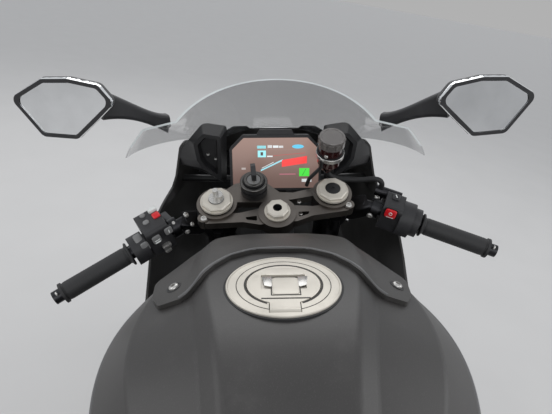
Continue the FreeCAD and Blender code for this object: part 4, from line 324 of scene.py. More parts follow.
finishTable = {                  # each row: colour, roughness, and what differs from its maker's values
    paint: {
        "tankPaint": ((0.040, 0.038, 0.037), 0.44, dict(flake=0.20, dust=0.10)),
        "bodyPaint": ((0.037, 0.036, 0.035), 0.42, dict(flake=0.16)),
        "framePaint": ((0.045, 0.045, 0.047), 0.42, dict(flake=0.3, dust=0.15)),
        "wheelBlack": ((0.020, 0.020, 0.022), 0.34, dict(dust=0.25)),
        "springPaint": ((0.34, 0.30, 0.24), 0.30, dict(dust=0.3)),
        "amberLens": ((0.55, 0.16, 0.012), 0.16, dict(dust=0.02)),
        "redLens": ((0.35, 0.012, 0.010), 0.16, dict(dust=0.02)),
        # near-black finish for the panel gaps: painted shade between the panels
        "gapLine": ((0.006, 0.006, 0.006), 0.6, {}),
        # pale grey for the lips along the tank's shoulders and the trim's edge: a painted highlight on those
        # edges
        "lipPaint": ((0.105, 0.105, 0.107), 0.36, dict(flake=0.1, dust=0.08)),
    },
    metal: {
        "forkBlack": ((0.040, 0.040, 0.043), 0.36, dict(wear=0.2)),
        "bronzeClamp": ((0.168, 0.152, 0.138), 0.38, dict(cast=0.05)),
        "alloy": ((0.56, 0.56, 0.55), 0.34, dict(brushed=(900, 900, 60))),
        "steel": ((0.50, 0.49, 0.48), 0.30, dict(brushed=(300, 1500, 300))),
        "chainSteel": ((0.33, 0.31, 0.28), 0.40, dict(wear=0.5)),
        "titanium": ((0.40, 0.37, 0.34), 0.34, dict(brushed=(90, 1200, 1200), wear=0.25)),
        "engineCast": ((0.085, 0.085, 0.088), 0.52, dict(wear=0.25, cast=0.18)),
        "finBlack": ((0.05, 0.05, 0.05), 0.55, dict(wear=0.3, cast=0.1)),
        "creamAlloy": ((0.60, 0.565, 0.50), 0.40, dict(wear=0.16, share=0.35)),
        "brightSteel": ((0.55, 0.54, 0.52), 0.28, dict(wear=0.15, share=0.8)),
        "darkAlloy": ((0.115, 0.112, 0.108), 0.34, dict(wear=0.15)),
        "mirrorGlass": ((0.80, 0.81, 0.82), 0.06, dict(wear=0.02)),
    },
    plastic: {
        "trimPlastic": ((0.042, 0.040, 0.038), 0.44, dict(grain=1500, depth=0.12)),
        "blackPlastic": ((0.022, 0.022, 0.024), 0.50, {}),
        "darkPlastic": ((0.012, 0.012, 0.013), 0.42, dict(grain=1800, depth=0.12)),
        # near-black finish for the filler's groove lines: painted shade in the grooves
        "grooveDark": ((0.030, 0.027, 0.024), 0.6, {}),
        "threadGrey": ((0.085, 0.085, 0.085), 0.7, {}),
        "vinyl": ((0.020, 0.020, 0.021), 0.58, dict(grain=700, depth=0.45)),
    },
    rubber: {
        "softRubber": ((0.016, 0.016, 0.017), 0.66, {}),
        "tyreRubber": ((0.017, 0.017, 0.018), 0.74, dict(scale=300)),
        "gripRubber": ((0.020, 0.020, 0.021), 0.62, dict(scale=900)),
    },
    glass: {
        "potSmoke": ((0.030, 0.008, 0.008), 0.08, dict(alpha=0.95, coat=0.6)),
        "smokeLid": ((0.13, 0.12, 0.115), 0.14, dict(alpha=0.96, coat=0.4)),
        # pale, less clear finish for the windscreen's edge faces: a painted highlight along the rim
        "screenRim": ((0.62, 0.66, 0.66), 0.10, dict(alpha=0.85, coat=0.3)),
        "screen": ((0.30, 0.31, 0.32), 0.03, dict(alpha=0.30, coat=0.5)),
        "lens": ((0.62, 0.64, 0.66), 0.03, dict(alpha=0.35, coat=0.5)),
    },
    key: {
        "redKey": ((0.62, 0.012, 0.018), 0.34, {}),
        "paleKey": ((0.72, 0.74, 0.72), 0.45, {}),
        "greyKey": ((0.20, 0.20, 0.20), 0.42, {}),
    },
}
finishes = {name: make(name, colour, rough, **more) for make, rows in finishTable.items()
            for name, (colour, rough, more) in rows.items()}

nodeFinish = {
    "forkBlack": "lower_clamp fork_tubes clip_ons brake_levers lever_perches front_calipers rear_caliper "
                 "rearsets",
    "bronzeClamp": "upper_clamp",
    "creamAlloy": "fork_caps filler_ring filler_lid",
    "alloy": "fork_legs front_axle rear_axle",
    "wheelBlack": "front_rim rear_rim",
    "steel": "front_discs rear_disc rear_sprocket",
    "chainSteel": "drive_chain",
    "tyreRubber": "front_tyre rear_tyre",
    "softRubber": "grips",
    "darkPlastic": "dash_bracket ignition_lock cockpit_panels",
    "potSmoke": "brake_reservoir",
    "blackPlastic": "switch_blocks mirrors dashboard rear_hugger plate_holder front_mudguard belly_pan",
    "framePaint": "main_frame swingarm subframe side_stand",
    "engineCast": "engine",
    "finBlack": "radiator",
    "titanium": "exhaust_pipes silencer",
    "tankPaint": "fuel_tank",
    "trimPlastic": "tank_trim",
    "bodyPaint": "nose_fairing side_fairings tail_cowl",
    "screen": "windscreen",
    "lens": "headlamps",
    "vinyl": "rider_pad passenger_pad",
    "redLens": "rear_lamps",
    "darkAlloy": "rear_shock",
}
for finishName, names in nodeFinish.items():
    for node in names.split():
        if node in frame["nodes"]:
            mesh = frame["nodes"][node].data
            mesh.materials.clear()
            mesh.materials.append(finishes[finishName])


def readFaces(mesh, field, width=1, kind=float):
    values = np.zeros(len(mesh.polygons) * width, kind)
    mesh.polygons.foreach_get(field, values)
    return values.reshape(-1, width) if width > 1 else values


def secondFinish(node, finishName, choose):
    # another finish on the faces of a CAD node that choose(mesh) marks
    mesh = frame["nodes"][node].data
    index = readFaces(mesh, "material_index", kind=np.int32)
    mesh.materials.append(finishes[finishName])
    index[choose(mesh)] = len(mesh.materials) - 1
    mesh.polygons.foreach_set("material_index", index)


def paintFaces(node, finishName, test, back=fromBike):
    # the faces whose middles pass the test, in millimetres of the bike or the fork
    secondFinish(node, finishName, lambda mesh: test(*back(readFaces(mesh, "center", 3)).T))


def treeOf(*meshes):             # one search tree over several meshes
    points, faces = [], []
    for mesh in meshes:
        faces += [[v + len(points) for v in p.vertices] for p in mesh.polygons]
        points += [v.co.copy() for v in mesh.vertices]
    return BVHTree.FromPolygons(points, faces)


# second finishes on faces of the CAD nodes
def dashDisplay():
    # plain instrument layout: bars, a zero, a red wedge and a green light, on a brown glass
    place = {"middle": (1268, 0, 980), "tilt": 13.0}
    t = math.radians(place["tilt"])
    turn = bikeTurn @ np.array([(-math.cos(t), 0, math.sin(t)), (0, 1, 0), (math.sin(t), 0, math.cos(t))]).T
    f = Finish("display", Roughness=0.16, IOR=1.5, Emission_Strength=1.0)
    out, across, upward = localAxes(f, inBike(place["middle"]), turn)
    p, q = across * 1000, upward * 1000

    def block(p0, p1, q0, q1):
        return (p > p0) * (p < p1) * (q > q0) * (q < q1)

    def slope(start, end, wide):     # a line of that width between two points
        (a, b), (c, d) = start, end
        rise = (d - b) / (c - a)
        off = (q - (p * rise + (b - rise * a))).absolute()
        return (off < wide / 2) * (p > min(a, c)) * (p < max(a, c))

    cyan, white, red = (0.25, 0.85, 0.95), (0.80, 0.86, 0.88), (0.95, 0.05, 0.05)
    # sheen: the glow and the glass colour grow lighter towards the top, a painted sheen on the display glass
    sheen = upward.band(-0.05, 0.06)
    glow = f.mix(sheen, (0.15, 0.098, 0.085), (0.31, 0.205, 0.172))
    ticks = ((q * 0.0 + p) * 0.42).fraction() > 0.22
    layout = [
        (block(19.4, 36.8, 29.6, 35.3) * ticks, cyan), (block(7, 15.7, 30.6, 36.1) * ticks, white),
        (block(-5.8, 5.3, 30.8, 35.5), white), (block(-15.2, -7.1, 30.7, 35.0) * ticks, white),
        (((p + 44.7) / 11.6) ** 2.0 + ((q - 33.1) / 4.0) ** 2.0 < 1.0, (0.10, 0.62, 0.90)),
        (block(-60, 36.8, 26.6, 27.6), (0.30, 0.20, 0.18)),
        (block(19.3, 35.7, 12.2, 25.6), (0.35, 0.90, 0.95)),
        (block(25.0, 30.1, 15.6, 22.4), (0.06, 0.05, 0.05)),
        (block(6, 17, 12.5, 15.2), white), (slope((4.7, 15.1), (-58.8, 20.2), 1.3), (0.45, 0.10, 0.09)),
        (slope((30, -14.6), (-14, 6.2), 3.2), (0.35, 0.75, 0.85)),
        (slope((28, -10.0), (4, 2.0), 1.2), white),
        (block(-63, -12.4, -12, 18) * (q > (p * -0.146 - 9.6)) * (q < (p * -0.16 + 4.2)), red),
        (block(-68, -47.5, -27, -10.5), (0.06, 0.78, 0.06)),
        (slope((-54, -25), (-61, -12.5), 2.2), (0.02, 0.30, 0.03)),
        (block(-72.5, -53, -38.8, -32.4) * ticks, white),
        (block(-40.4, -7.6, -23.4, -21.6), (0.50, 0.16, 0.22)),
        (block(60.4, 68.8, -12.6, -8.6), (0.45, 0.40, 0.38)),
    ]
    for mask, colour in layout:
        glow = f.mix(mask, glow, colour)
    # glass colour lighter at the top by the painted sheen
    f.set("Base Color", f.mix(sheen, (0.05, 0.035, 0.032), (0.09, 0.06, 0.052)))
    f.set("Emission Color", glow)

    def back(points):
        return (np.asarray(points) - inBike(place["middle"])) @ turn / stance["mm"]
    return f.material, back


finishes["display"], fromDash = dashDisplay()
paintFaces("dashboard", "display",
           lambda x, y, z: (x < -0.4) & (x > -2.3) & (abs(y) < 88) & (abs(z) < 52), fromDash)
paintFaces("mirrors", "mirrorGlass", lambda x, y, z: (x > 1156.8) & (x < 1161.2))
# faces within 9 mm of the stem axis, the bore of the stem nut, are painted dark: painted shade in the hole
paintFaces("fork_caps", "darkPlastic", lambda x, y, z: np.hypot(x, y) < 9, fromFork)
paintFaces("ignition_lock", "greyKey", lambda x, y, z: (y > 80) & (z > 719), fromFork)
paintFaces("ignition_lock", "brightSteel", lambda x, y, z: (y > 80) & (z > 728), fromFork)
paintFaces("ignition_lock", "blackPlastic", lambda x, y, z: (abs(y) < 70) & (z > 751), fromFork)
paintFaces("ignition_lock", "brightSteel", lambda x, y, z: (abs(y) < 70) & (z > 742.4) & (z < 750.4),
           fromFork)
paintFaces("brake_reservoir", "smokeLid", lambda x, y, z: z > 794.1, fromFork)
paintFaces("rear_lamps", "amberLens", lambda x, y, z: abs(y) > 84)
paintFaces("rear_lamps", "blackPlastic", lambda x, y, z: (abs(y) < 84) & (z < 800))


def onSpring(x, y, z):           # faces of the coil: outside the damper, between its two seats
    low, high = np.array((520, 0, 424.0)), np.array((566, 0, 690.0))
    axis = (high - low) / np.linalg.norm(high - low)
    away = np.stack([x, y, z], 1) - low
    h = away @ axis
    r = np.linalg.norm(away - h[:, None] * axis, axis=1)
    return (r > 23.2) & (r < 35.2) & (h > 37.6) & (h < 188)


def rimFaces(mesh, lift=0.0002, thick=0.0045):
    # the edge of a thin sheet: faces with no opposite skin within its thickness
    tree = treeOf(mesh)
    return np.array([tree.ray_cast(f.center - f.normal * lift, -f.normal, thick)[0] is None
                     for f in mesh.polygons])


def backFaces(mesh, least=0.15):  # faces that don't look forward
    return readFaces(mesh, "normal", 3) @ bikeTurn[:, 0] < least


paintFaces("rear_shock", "springPaint", onSpring)
paintFaces("brake_reservoir", "darkPlastic",
           lambda x, y, z: (np.hypot(x - 76, y + 104) > 21.4) & (z < 793.6), fromFork)
secondFinish("headlamps", "darkPlastic", backFaces)
# the windscreen's edge faces get a pale finish: a painted highlight along the rim
secondFinish("windscreen", "screenRim", rimFaces)
print("finishes done")

# brake hoses: free lines whose route is the source's, in millimetres of the fork
lineRoute = [(64.24, 30.3, 523), (64.24, 44, 523), (72.24, 66, 515), (72.24, 86, 480), (68.24, 118, 448),
             (45.24, 144, 415), (23.24, 147, 340), (5.24, 143, 250), (-26.76, 121, 196), (-60.76, 84, 186),
             (-60.76, 84, 145)]
potRoute = [(76, -104, 725.7), (76, -104, 708.7), (63.8, -154.2, 704), (43.5, -204.3, 728.2),
            (43.5, -204.3, 701.2)]
hoses = {
    "leftBrakeLine": {"corners": lineRoute, "thick": 0.007, "length": 0.485, "lay": "hanging"},
    "rightBrakeLine": {"corners": [(x, -y, z) for x, y, z in lineRoute], "thick": 0.007,
                       "length": 0.485, "lay": "hanging"},
    "potHose": {"corners": potRoute, "thick": 0.010, "length": 0.135, "lay": "taut"},
}


def hosePiece(name, corners, thick, length, lay):
    route = inFork(corners)
    curve = bpy.data.curves.new(name, "CURVE")
    curve.dimensions = "3D"
    curve.bevel_depth, curve.bevel_resolution, curve.use_fill_caps = thick / 2, 5, True
    line = curve.splines.new("NURBS")
    line.points.add(len(route) - 1)
    line.points.foreach_set("co", np.c_[route, np.ones(len(route))].ravel())
    line.order_u = 3
    line.use_endpoint_u = True
    line.resolution_u = 12
    curve.materials.append(finishes["softRubber"])
    piece = linked(name, curve)
    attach(piece, "fork")
    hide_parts("brake_hoses")


for name, hose in hoses.items():
    hosePiece(name, **hose)
print("hoses done")


# small repeated shapes
def sixSided(a, half):           # half width of a key across its flats, at angle a
    return half / np.cos((a + math.pi / 6) % (math.pi / 3) - math.pi / 6)


screwShape = [(0.8, -0.5), (1, -0.5), (1, 0.35), (0.93, 0.72), (0.76, 0.95), (0.62, 1.0), (0.46, 1.0),
              (0.44, 0.3), (0.05, 0.25)]


def screwGrid(place, axis, r, tall=0.55, steps=24):
    # button head: a domed rim, then the walls and floor of its six-sided socket
    socket = np.isin(np.arange(len(screwShape)), (6, 7))
    return turnedGrid(place, axis, [(s * r, h * tall * r) for s, h in screwShape], steps,
                      radius=lambda a, s: np.where(socket, sixSided(a, s), s + 0 * a))


def nutGrid(place, axis, half, tall, bore=0.5):
    # hexagon nut with turned-down corners and a dark hole
    rings = [(1, -0.4), (1, 0.8), (0.92, 1.0), (bore, 1.0), (bore, 0.3), (0.03, 0.3)]
    sided = np.arange(len(rings)) < 2
    return turnedGrid(place, axis, [(s * half, h * tall) for s, h in rings], 24,
                      radius=lambda a, s: np.where(sided, sixSided(a, s), s + 0 * a))


frames = {"fork": (inFork, forkTurn), "bike": (inBike, bikeTurn)}


def screwPiece(name, rows, where, finish, body, kind=screwGrid):
    # each row: place x y z, outward direction x y z, radius, in millimetres of that frame
    place, turn = frames[where]
    grids = [kind(place(row[:3]), turn @ np.array(row[3:6], float), row[6] * stance["mm"]) for row in rows]
    gridPiece(name, grids, finish, body)


def padGrid(where, at, normal, along, size, tall, crown=0.25, power=5.0, sink=1.5, steps=40):
    # pad on a superellipse: |p / a|^n + |q / b|^n = 1, rows stepping in to a crowned top
    place, turn = frames[where]
    normal = np.array(normal, float) / np.linalg.norm(normal)
    along = np.array(along, float) - normal * (np.array(along, float) @ normal)
    along /= np.linalg.norm(along)
    side = np.cross(normal, along)
    a = np.linspace(0, 2 * math.pi, steps, endpoint=False)
    c, s = np.cos(a), np.sin(a)
    reach = (np.abs(c) ** power + np.abs(s) ** power) ** (-1 / power)
    edge = (along * (c * reach * size[0] / 2)[:, None]) + side * (s * reach * size[1] / 2)[:, None]
    rows = [(0.96, -sink), (1, -sink), (1, tall * 0.55), (0.97, tall * 0.86), (0.9, tall),
            (0.6, tall + crown * 0.7), (0.2, tall + crown)]
    return place(np.array([np.array(at, float) + edge * grow + normal * lift for grow, lift in rows]))


def bandPiece(name, foot, axis, inner, outer, low, high, finish, body, bevel=0.3, steps=72):
    # flat ring of rectangular section with bevelled edges; a closed section carried round
    section = [(inner, low), (outer, low), (outer, high - bevel), (outer - bevel, high),
               (inner + bevel, high), (inner, high - bevel)]
    grid = turnedGrid(foot, axis, np.array(section) * stance["mm"], steps)
    gridPiece(name, [grid], finish, body, closed=True)


# nearest points of the CAD skins, for lips, gaps and seams that follow them
def skinOf(*nodes):
    return treeOf(*[frame["nodes"][node].data for node in nodes])


def droppedPath(skin, points, direction, start=0.0):
    # points of the bike's frame pushed along a direction on to a skin; misses are left out
    push = Vector(bikeTurn @ np.array(direction, float))
    hits = [skin.ray_cast(Vector(inBike(p)) - push * start, push)[0] for p in points]
    return np.array([np.array(h) for h in hits if h is not None])


def evenPath(points, step):      # a polyline's points again at even steps
    points = np.asarray(points, float)
    reach = np.r_[0, np.cumsum(np.linalg.norm(np.diff(points, axis=0), axis=1))]
    s = np.linspace(0, reach[-1], max(3, int(reach[-1] / step) + 1))
    return np.stack([np.interp(s, reach, points[:, i]) for i in range(3)], 1)


def easePath(points, turns=3):   # each inner point moved to the mean of its neighbours
    points = points.copy()
    for _ in range(turns):
        points[1:-1] = (points[:-2] + 2 * points[1:-1] + points[2:]) / 4
    return points


def stripGrid(skin, path, outline, step=0.006, ease=3):
    # section (p across, q outwards, mm) carried along a path laid on the skin:
    # point = nearest skin point + side p + normal q, side square to run and normal
    laid = easePath(evenPath(path, step), ease)
    hits = [skin.find_nearest(Vector(p)) for p in laid]
    middle = easePath(np.array([h[0] for h in hits]), ease)
    normal = easePath(np.array([h[1] for h in hits]), ease + 2)
    run = np.gradient(middle, axis=0)
    side = np.cross(normal, run)
    side /= np.linalg.norm(side, axis=1)[:, None]
    normal /= np.linalg.norm(normal, axis=1)[:, None]
    p, q = np.array(outline, float).T * stance["mm"]
    return middle[:, None] + side[:, None] * p[None, :, None] + normal[:, None] * q[None, :, None]


# filler: outline, groove, step and finger wells, on the tank and on the lid
filler = {"middle": (868, 0, 991), "tilt": 8.5, "groove": 44.2, "step": 54.0, "face": 3.5,
          "cover": [(-25, -18), (13, -18), (13, 14), (-25, 14), (-25, -18)]}
fillerTurn = bikeTurn @ turned("Y", filler["tilt"])
fillerFoot = inBike(filler["middle"])


def inFiller(points):
    return fillerFoot + np.asarray(points, float) * stance["mm"] @ fillerTurn.T


def arcPath(r, start, stop, lift, steps=90):
    a = np.radians(np.linspace(start, stop, steps))
    return np.stack([r * np.cos(a), r * np.sin(a), 0 * a + lift], 1)


def lineGrid(path, across, tall, up):
    # rectangular section carried along a path, kept level with the given direction
    path = np.asarray(path, float)
    run = np.gradient(path, axis=0)
    side = np.cross(run, up)
    side /= np.linalg.norm(side, axis=1)[:, None]
    p, q = np.array([(-across, -tall), (across, -tall), (across, tall), (-across, tall)]).T / 2 * stance["mm"]
    return path[:, None] + side[:, None] * p[None, :, None] + np.asarray(up)[None, None] * q[None, :, None]


frames["filler"] = (inFiller, fillerTurn)
up = fillerTurn[:, 2]
bandPiece("fillerOutline", fillerFoot, up, 66.0, 68.6, -2.5, 2.0, "softRubber", "chassis", steps=120)
bandPiece("fillerEdge", fillerFoot, up, 63.4, 66.0, 2.4, 4.1, "creamAlloy", "chassis", bevel=0.8, steps=120)
# the groove, the lid's outline lines and the step below are near-black strips: painted shade in the grooves
groove = lineGrid(inFiller(arcPath(filler["groove"], -155, 155, 3.0)), 2.2, 0.7, up)
gridPiece("fillerGroove", [groove], "grooveDark", "chassis", sharp=60)
lidLines = [lineGrid(inFiller([(x, y, filler["face"]) for x, y in filler["cover"][i:i + 2]]), 1.2, 0.5, up)
            for i in range(4)]
lidLines.append(lineGrid(inFiller([(-31.5, -28, filler["face"]), (-31.5, 25, filler["face"])]), 1.6, 0.6, up))
gridPiece("lidLines", lidLines, "grooveDark", "filler_lid", sharp=60)
cover = [padGrid("filler", (-6, -2, 3.4), (0, 0, 1), (1, 0, 0), (36.4, 30.4), 1.1, power=9, sink=2.6),
         padGrid("filler", (27, -2, 3.4), (0, 0, 1), (1, 0, 0), (16, 46), 0.5, power=6)]
gridPiece("lidCover", cover, "creamAlloy", "filler_lid")
step = lineGrid(inFiller(arcPath(filler["step"], -180, 180, 3.05)), 0.9, 0.3, up)
gridPiece("fillerStep", [step], "grooveDark", "chassis", sharp=60)
wings = []                       # bevelled finger wells on both sides of the key cover
for hand in (1, -1):
    corners = np.array([(16, 15, 3.5), (16, 27, 3.5), (-4, 24, 3.5), (-8, 15, 3.5)]) * (1, hand, 1) + (0, -2, 0)
    wings.append(inFiller(np.array([corners + (0, 0, -0.6), corners,
                                    corners * 0.93 + (0.6, hand * 1.4, 0.5)])))
gridPiece("lidWings", wings, "brightSteel", "filler_lid", sharp=30)
print("filler done")

# cockpit screws
bolts = {
    "fork": [(0.5, 129, 711, 0, 0, 1, 6.0), (0.5, -129, 711, 0, 0, 1, 6.0),
             (20.9, 162, 700.5, 0, -0.63, 0.77, 5.5), (-2.2, 161.8, 682.1, -0.93, -0.37, 0, 5.0),
             (5.6, 152.1, 692.1, -0.23, -0.67, 0.71, 4.0), (0.4, 182.1, 707.1, -0.3, -0.2, 0.93, 3.2),
             (26.1, -192.4, 693.3, 0.38, -0.28, 0.88, 5.5), (-9.2, -169.8, 687.4, -0.86, 0.5, -0.12, 5.5),
             (27.5, -44, 699.6, 0, 0, 1, 4.0), (-2.2, -42.2, 701.7, 0, 0, 1, 3.6),
             (-104.6, 363.6, 690.0, -0.4927, 0.8677, -0.0662, 3.4),
             (-104.6, -363.6, 690.0, -0.4927, -0.8677, -0.0662, 3.4)],
    "bike": [(1278, 135.6, 996.6, -0.6, 0, 0.8, 3.6), (1278, 120.1, 987.2, -0.6, 0, 0.8, 3.6)],
}
screwPiece("cockpitScrews", bolts["fork"], "fork", "brightSteel", "fork")
screwPiece("panelScrews", bolts["bike"], "bike", "brightSteel", "chassis")

trimScrews = {"left": ((893.4, 132.1, 970.5), (0.10, 0.38, 0.92)),
              "right": ((897, -142.5, 965.5), (0.16, -0.39, 0.91))}
for word, (at, normal) in trimScrews.items():
    screwPiece(word + "TrimScrew", [(*at, *normal, 6.4)], "bike", "brightSteel", "chassis")
    bandPiece(word + "TrimCup", inBike(at), bikeTurn @ np.array(normal), 7.2, 9.6, -1.5, 0.6,
              "darkPlastic", "chassis", steps=40)

# switch keys: a pad each, with its own place, outward and along directions, size, height and crown
bar = {1: (-0.4927, 0.8677, -0.0662), -1: (-0.4927, -0.8677, -0.0662)}
left, right = bar[1], bar[-1]
topLeft, rearLeft = (0.12, 0.14, 0.98), (-0.86, -0.48, 0.17)
topRight, rearRight = (0.09, -0.13, 0.99), (-0.87, 0.48, 0.14)
rocker, toggle = (-30.9, 208.8, 708.6), (-18.6, 189.0, 713.4)
hazard, stop = (9.2, 209.2, 721.4), (-27.1, -198.2, 712.4)
markFoot = np.array(stop) + np.array(rearRight) * 4.6
keyPads = {
    "hazardKey": ("redKey", [(hazard, topLeft, left, (13, 15), 2.6, 0.8)]),
    "beamKey": ("paleKey", [((22.6, 217.0, 719.0), topLeft, left, (15, 9), 5.0, 1.2)]),
    "roundKeys": ("greyKey", [((13.6, 233.1, 716.0), topLeft, left, (10, 10), 4.0, 1.6, 2),
                              ((-4.3, 225.0, 719.4), topLeft, left, (11, 10), 4.0, 1.6, 2.4)]),
    "rockerKeys": ("greyKey", [(rocker, rearLeft, left, (15, 17), 3.0, 0.8),
                               (toggle, rearLeft, left, (14, 15), 2.6, 0.8)]),
    "rockerMarks": ("paleKey", [
        *[((-34.2 + 1.9 * k, 206.9 + 1.0 * k, 708.9 + 3.4 * k), rearLeft, left, (9.5, 1.5), 0.5, 0.1)
          for k in (-1, 0, 1)],
        ((-21.2, 187.5, 713.9), rearLeft, (0, 0, 1), (8, 1.8), 0.6, 0.1)]),
    "turnToggle": ("brightSteel", [((-28.7, 197.1, 687.1), rearLeft, left, (16, 8), 7.0, 1.2, 3),
                                   ((-30.6, 196.3, 675.1), rearLeft, left, (12, 7), 5.0, 1.0, 3)]),
    "keyFrames": ("darkPlastic", [(rocker, rearLeft, left, (18.5, 20.5), 0.8, 0),
                                  (toggle, rearLeft, left, (17, 18), 0.8, 0),
                                  (stop, rearRight, right, (25, 23), 1.0, 0),
                                  (hazard, topLeft, left, (16, 18), 0.6, 0)]),
    "stopKey": ("redKey", [(stop, rearRight, right, (20, 19), 4.0, 1.0)]),
    "stopMark": ("paleKey", [(markFoot - (0, 0, 5.6), rearRight, right, (13, 4.4), 0.7, 0.1)]),
    "startKey": ("blackPlastic", [((3.4, -216.8, 715.6), topRight, right, (14, 18), 3.6, 0.8)]),
    "startMark": ("paleKey", [((3.6, -217.1, 719.6), topRight, (0.9, -0.1, 0), (8, 2.0), 0.6, 0.1)]),
    "ringKeys": ("greyKey", [((-29.0, 239.2, 711.2), (-0.45, -0.25, 0.86), left, (13, 17), 2.0, 0.6),
                             ((-40.2, 227.6, 702.7), (-0.80, -0.45, 0.40), left, (13, 17), 2.0, 0.6)]),
}
for name, (finish, rows) in keyPads.items():
    gridPiece(name, [padGrid("fork", *row) for row in rows], finish, "fork")
    if name == "stopMark":       # a ring above the bar, on the same key
        bandPiece("stopRing", inFork(markFoot + (0, 0, 2.2)), forkTurn @ np.array(rearRight), 2.2, 3.2,
                  -0.5, 0.8, "paleKey", "fork", bevel=0.2, steps=32)

# grips: rubber with fine ribs, an inner flange and an end band
grip = {"foot": (-37.0, 255.0, 684.0), "start": 2.0, "end": 122.0, "r": 15.65, "bore": 11.6, "rings": 150,
        "flange": (5.6, 4.2, 2.6), "band": (1.9, 117.2), "grooves": [(0.9, 115.8, 0.9), (0.6, 9.6, 1.2)],
        "ribbed": (12, 113), "wave": 0.28, "ribs": 18, "pitch": 4}


def gripGrid(side):
    # lathe round the bar: r = body + wave * |sin(ribs * a)| * |sin(pi * h / pitch)|, with a flange at the
    # inner end (height, place, width), a band at the outer end and a shallow groove beside each
    h = np.linspace(grip["start"], grip["end"], grip["rings"])
    tall, at, wide = grip["flange"]
    body = grip["r"] + tall * np.exp(-((h - at) / wide) ** 4) + grip["band"][0] * (h > grip["band"][1])
    for deep, at, wide in grip["grooves"]:
        body -= deep * np.exp(-((h - at) / wide) ** 2)
    live = (h > grip["ribbed"][0]) & (h < grip["ribbed"][1])
    fine = np.r_[0, live * np.abs(np.sin(math.pi * h / grip["pitch"])), 0]
    profile = np.r_[[(grip["bore"], grip["start"])], np.c_[body, h], [(grip["bore"], grip["end"])]]
    wave = grip["wave"] * stance["mm"] * fine
    return turnedGrid(inFork(np.array(grip["foot"]) * (1, side, 1)), forkTurn @ np.array(bar[side]),
                      profile * stance["mm"], 72,
                      radius=lambda a, r: r + wave * np.abs(np.sin(grip["ribs"] * a)))


for side, word in ((1, "left"), (-1, "right")):
    piece = gridPiece(word + "Grip", [gripGrid(side)], "gripRubber", "fork", closed=True)
    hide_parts("grips")

# rings on the ignition lock and the fluid pot: foot, inner and outer radius, low and high, finish, bevel
lockFoot, potFoot, forkUp = inFork((54.0, 36.0, 711.3)), inFork((76.0, -104.0, 736.0)), forkTurn[:, 2]
turnedRings = {
    "lockRing": (lockFoot, 19.4, 24.8, 24.0, 27.4, "darkAlloy", 1.0),
    "lockInner": (lockFoot, 12.5, 17.6, 30.4, 32.6, "darkAlloy", 0.6),
    "lockPlate": (lockFoot, 2.0, 12.0, 30.4, 31.8, "greyKey", 0.4),
    "potClamp": (potFoot, 24.0, 25.4, 31.0, 39.0, "brightSteel", 0.5),
}
for name, (foot, inner, outer, low, high, finish, bevel) in turnedRings.items():
    bandPiece(name, foot, forkUp, inner, outer, low, high, finish, "fork", bevel=bevel)
screwPiece("potScrew", [(59.0, -86.0, 771.0, -0.7, 0.7, 0, 4.2), (54.5, -91.0, 783.0, -0.8, 0.6, 0, 3.4)],
           "fork", "brightSteel", "fork")
bandPiece("potLidLip", potFoot, forkUp, 18.0, 22.2, 70.0, 74.4, "smokeLid", "fork", bevel=0.8)
print("cockpit done")

# tyres: crown, sidewalls and grooves as one surface round the wheel
hubs = {"front": (inFork((31.238, 0, 0)), forkTurn[:, 1]),
        "rear": (inBike(stance["rearHub"]), bikeTurn[:, 1])}
tyres = {"front": {"r": 300.0, "width": 120.0, "crown": 50.0, "pitch": 13},
         "rear": {"r": 320.0, "width": 190.0, "crown": 72.0, "pitch": 12}}
rubberCut = {"deep": 5.0, "wide": 3.4, "around": 900, "across": 67, "flange": 226.0, "beadShare": 0.86,
             "lines": [(0.10, 0.50, 0.10, 0.62, 0.0), (0.36, 0.86, 0.52, 0.40, 0.0),
                       (0.56, 0.90, 0.10, 0.30, 0.25)]}    # low, high, start, bend, shift


def tyreGrid(r, width, crown, pitch):
    # section: crown arc through both shoulders, then sidewalls to the beads and back inside;
    # radius = section - depth, depth = deep * (1 - distance to the groove's line / half width) limited to 0..1
    half, edge = width / 2, r - crown
    rho = (crown ** 2 + half ** 2) / (2 * crown)
    span = math.asin(min(1.0, half / rho)) if crown < half else math.pi - math.asin(half / rho)
    t = np.linspace(-1, 1, rubberCut["across"])
    top = np.stack([rho * np.sin(t * span), r - rho + rho * np.cos(t * span)], 1)
    bead, flange = half * rubberCut["beadShare"], rubberCut["flange"]
    side = np.array([(0.995 * half, edge - 5), (0.985 * half, edge - 7), (0.99 * half, edge - 9),
                     (0.965 * half, (edge + flange) / 2 + 1), (0.945 * half, (edge + flange) / 2 - 1),
                     (bead + 2.2, flange + 5), (bead + 1.6, flange + 3.2), (bead, flange + 0.5),
                     (bead, 217)])
    inner = np.array([(bead - 12, 217), (0.72 * half, edge - 4), (0.3 * half, r - 16), (0, r - 13)])
    section = np.vstack([inner[::-1] * (-1, 1), (side * (-1, 1))[::-1], top, side, inner])
    s = np.zeros(len(section))       # place across the tread, and 0 off it, where no groove runs
    first = len(inner) + len(side)
    s[first:first + len(top)] = t
    a = np.linspace(0, 2 * math.pi, rubberCut["around"], endpoint=False)[:, None]
    depth = np.zeros((len(a), len(section)))
    for hand in (1, -1):
        u = hand * s[None, :]
        for low, high, start, bend, shift in rubberCut["lines"]:
            phase = -a / (2 * math.pi) * pitch + (start + bend * u) + shift + (0.5 if hand < 0 else 0)
            off = np.abs((phase + 0.5) % 1 - 0.5) * 2 * math.pi * r / pitch * 0.8
            end = np.clip((u - low) / 0.05, 0, 1) * np.clip((high - u) / 0.05, 0, 1)
            depth = np.maximum(depth, np.clip(1.6 * (1 - off / rubberCut["wide"]), 0, 1) * end)
    rr = section[None, :, 1] - rubberCut["deep"] * depth * np.cos(span * s)[None, :]
    yy = section[None, :, 0] - rubberCut["deep"] * depth * np.sin(span * s)[None, :]
    return a, rr * stance["mm"], yy * stance["mm"]


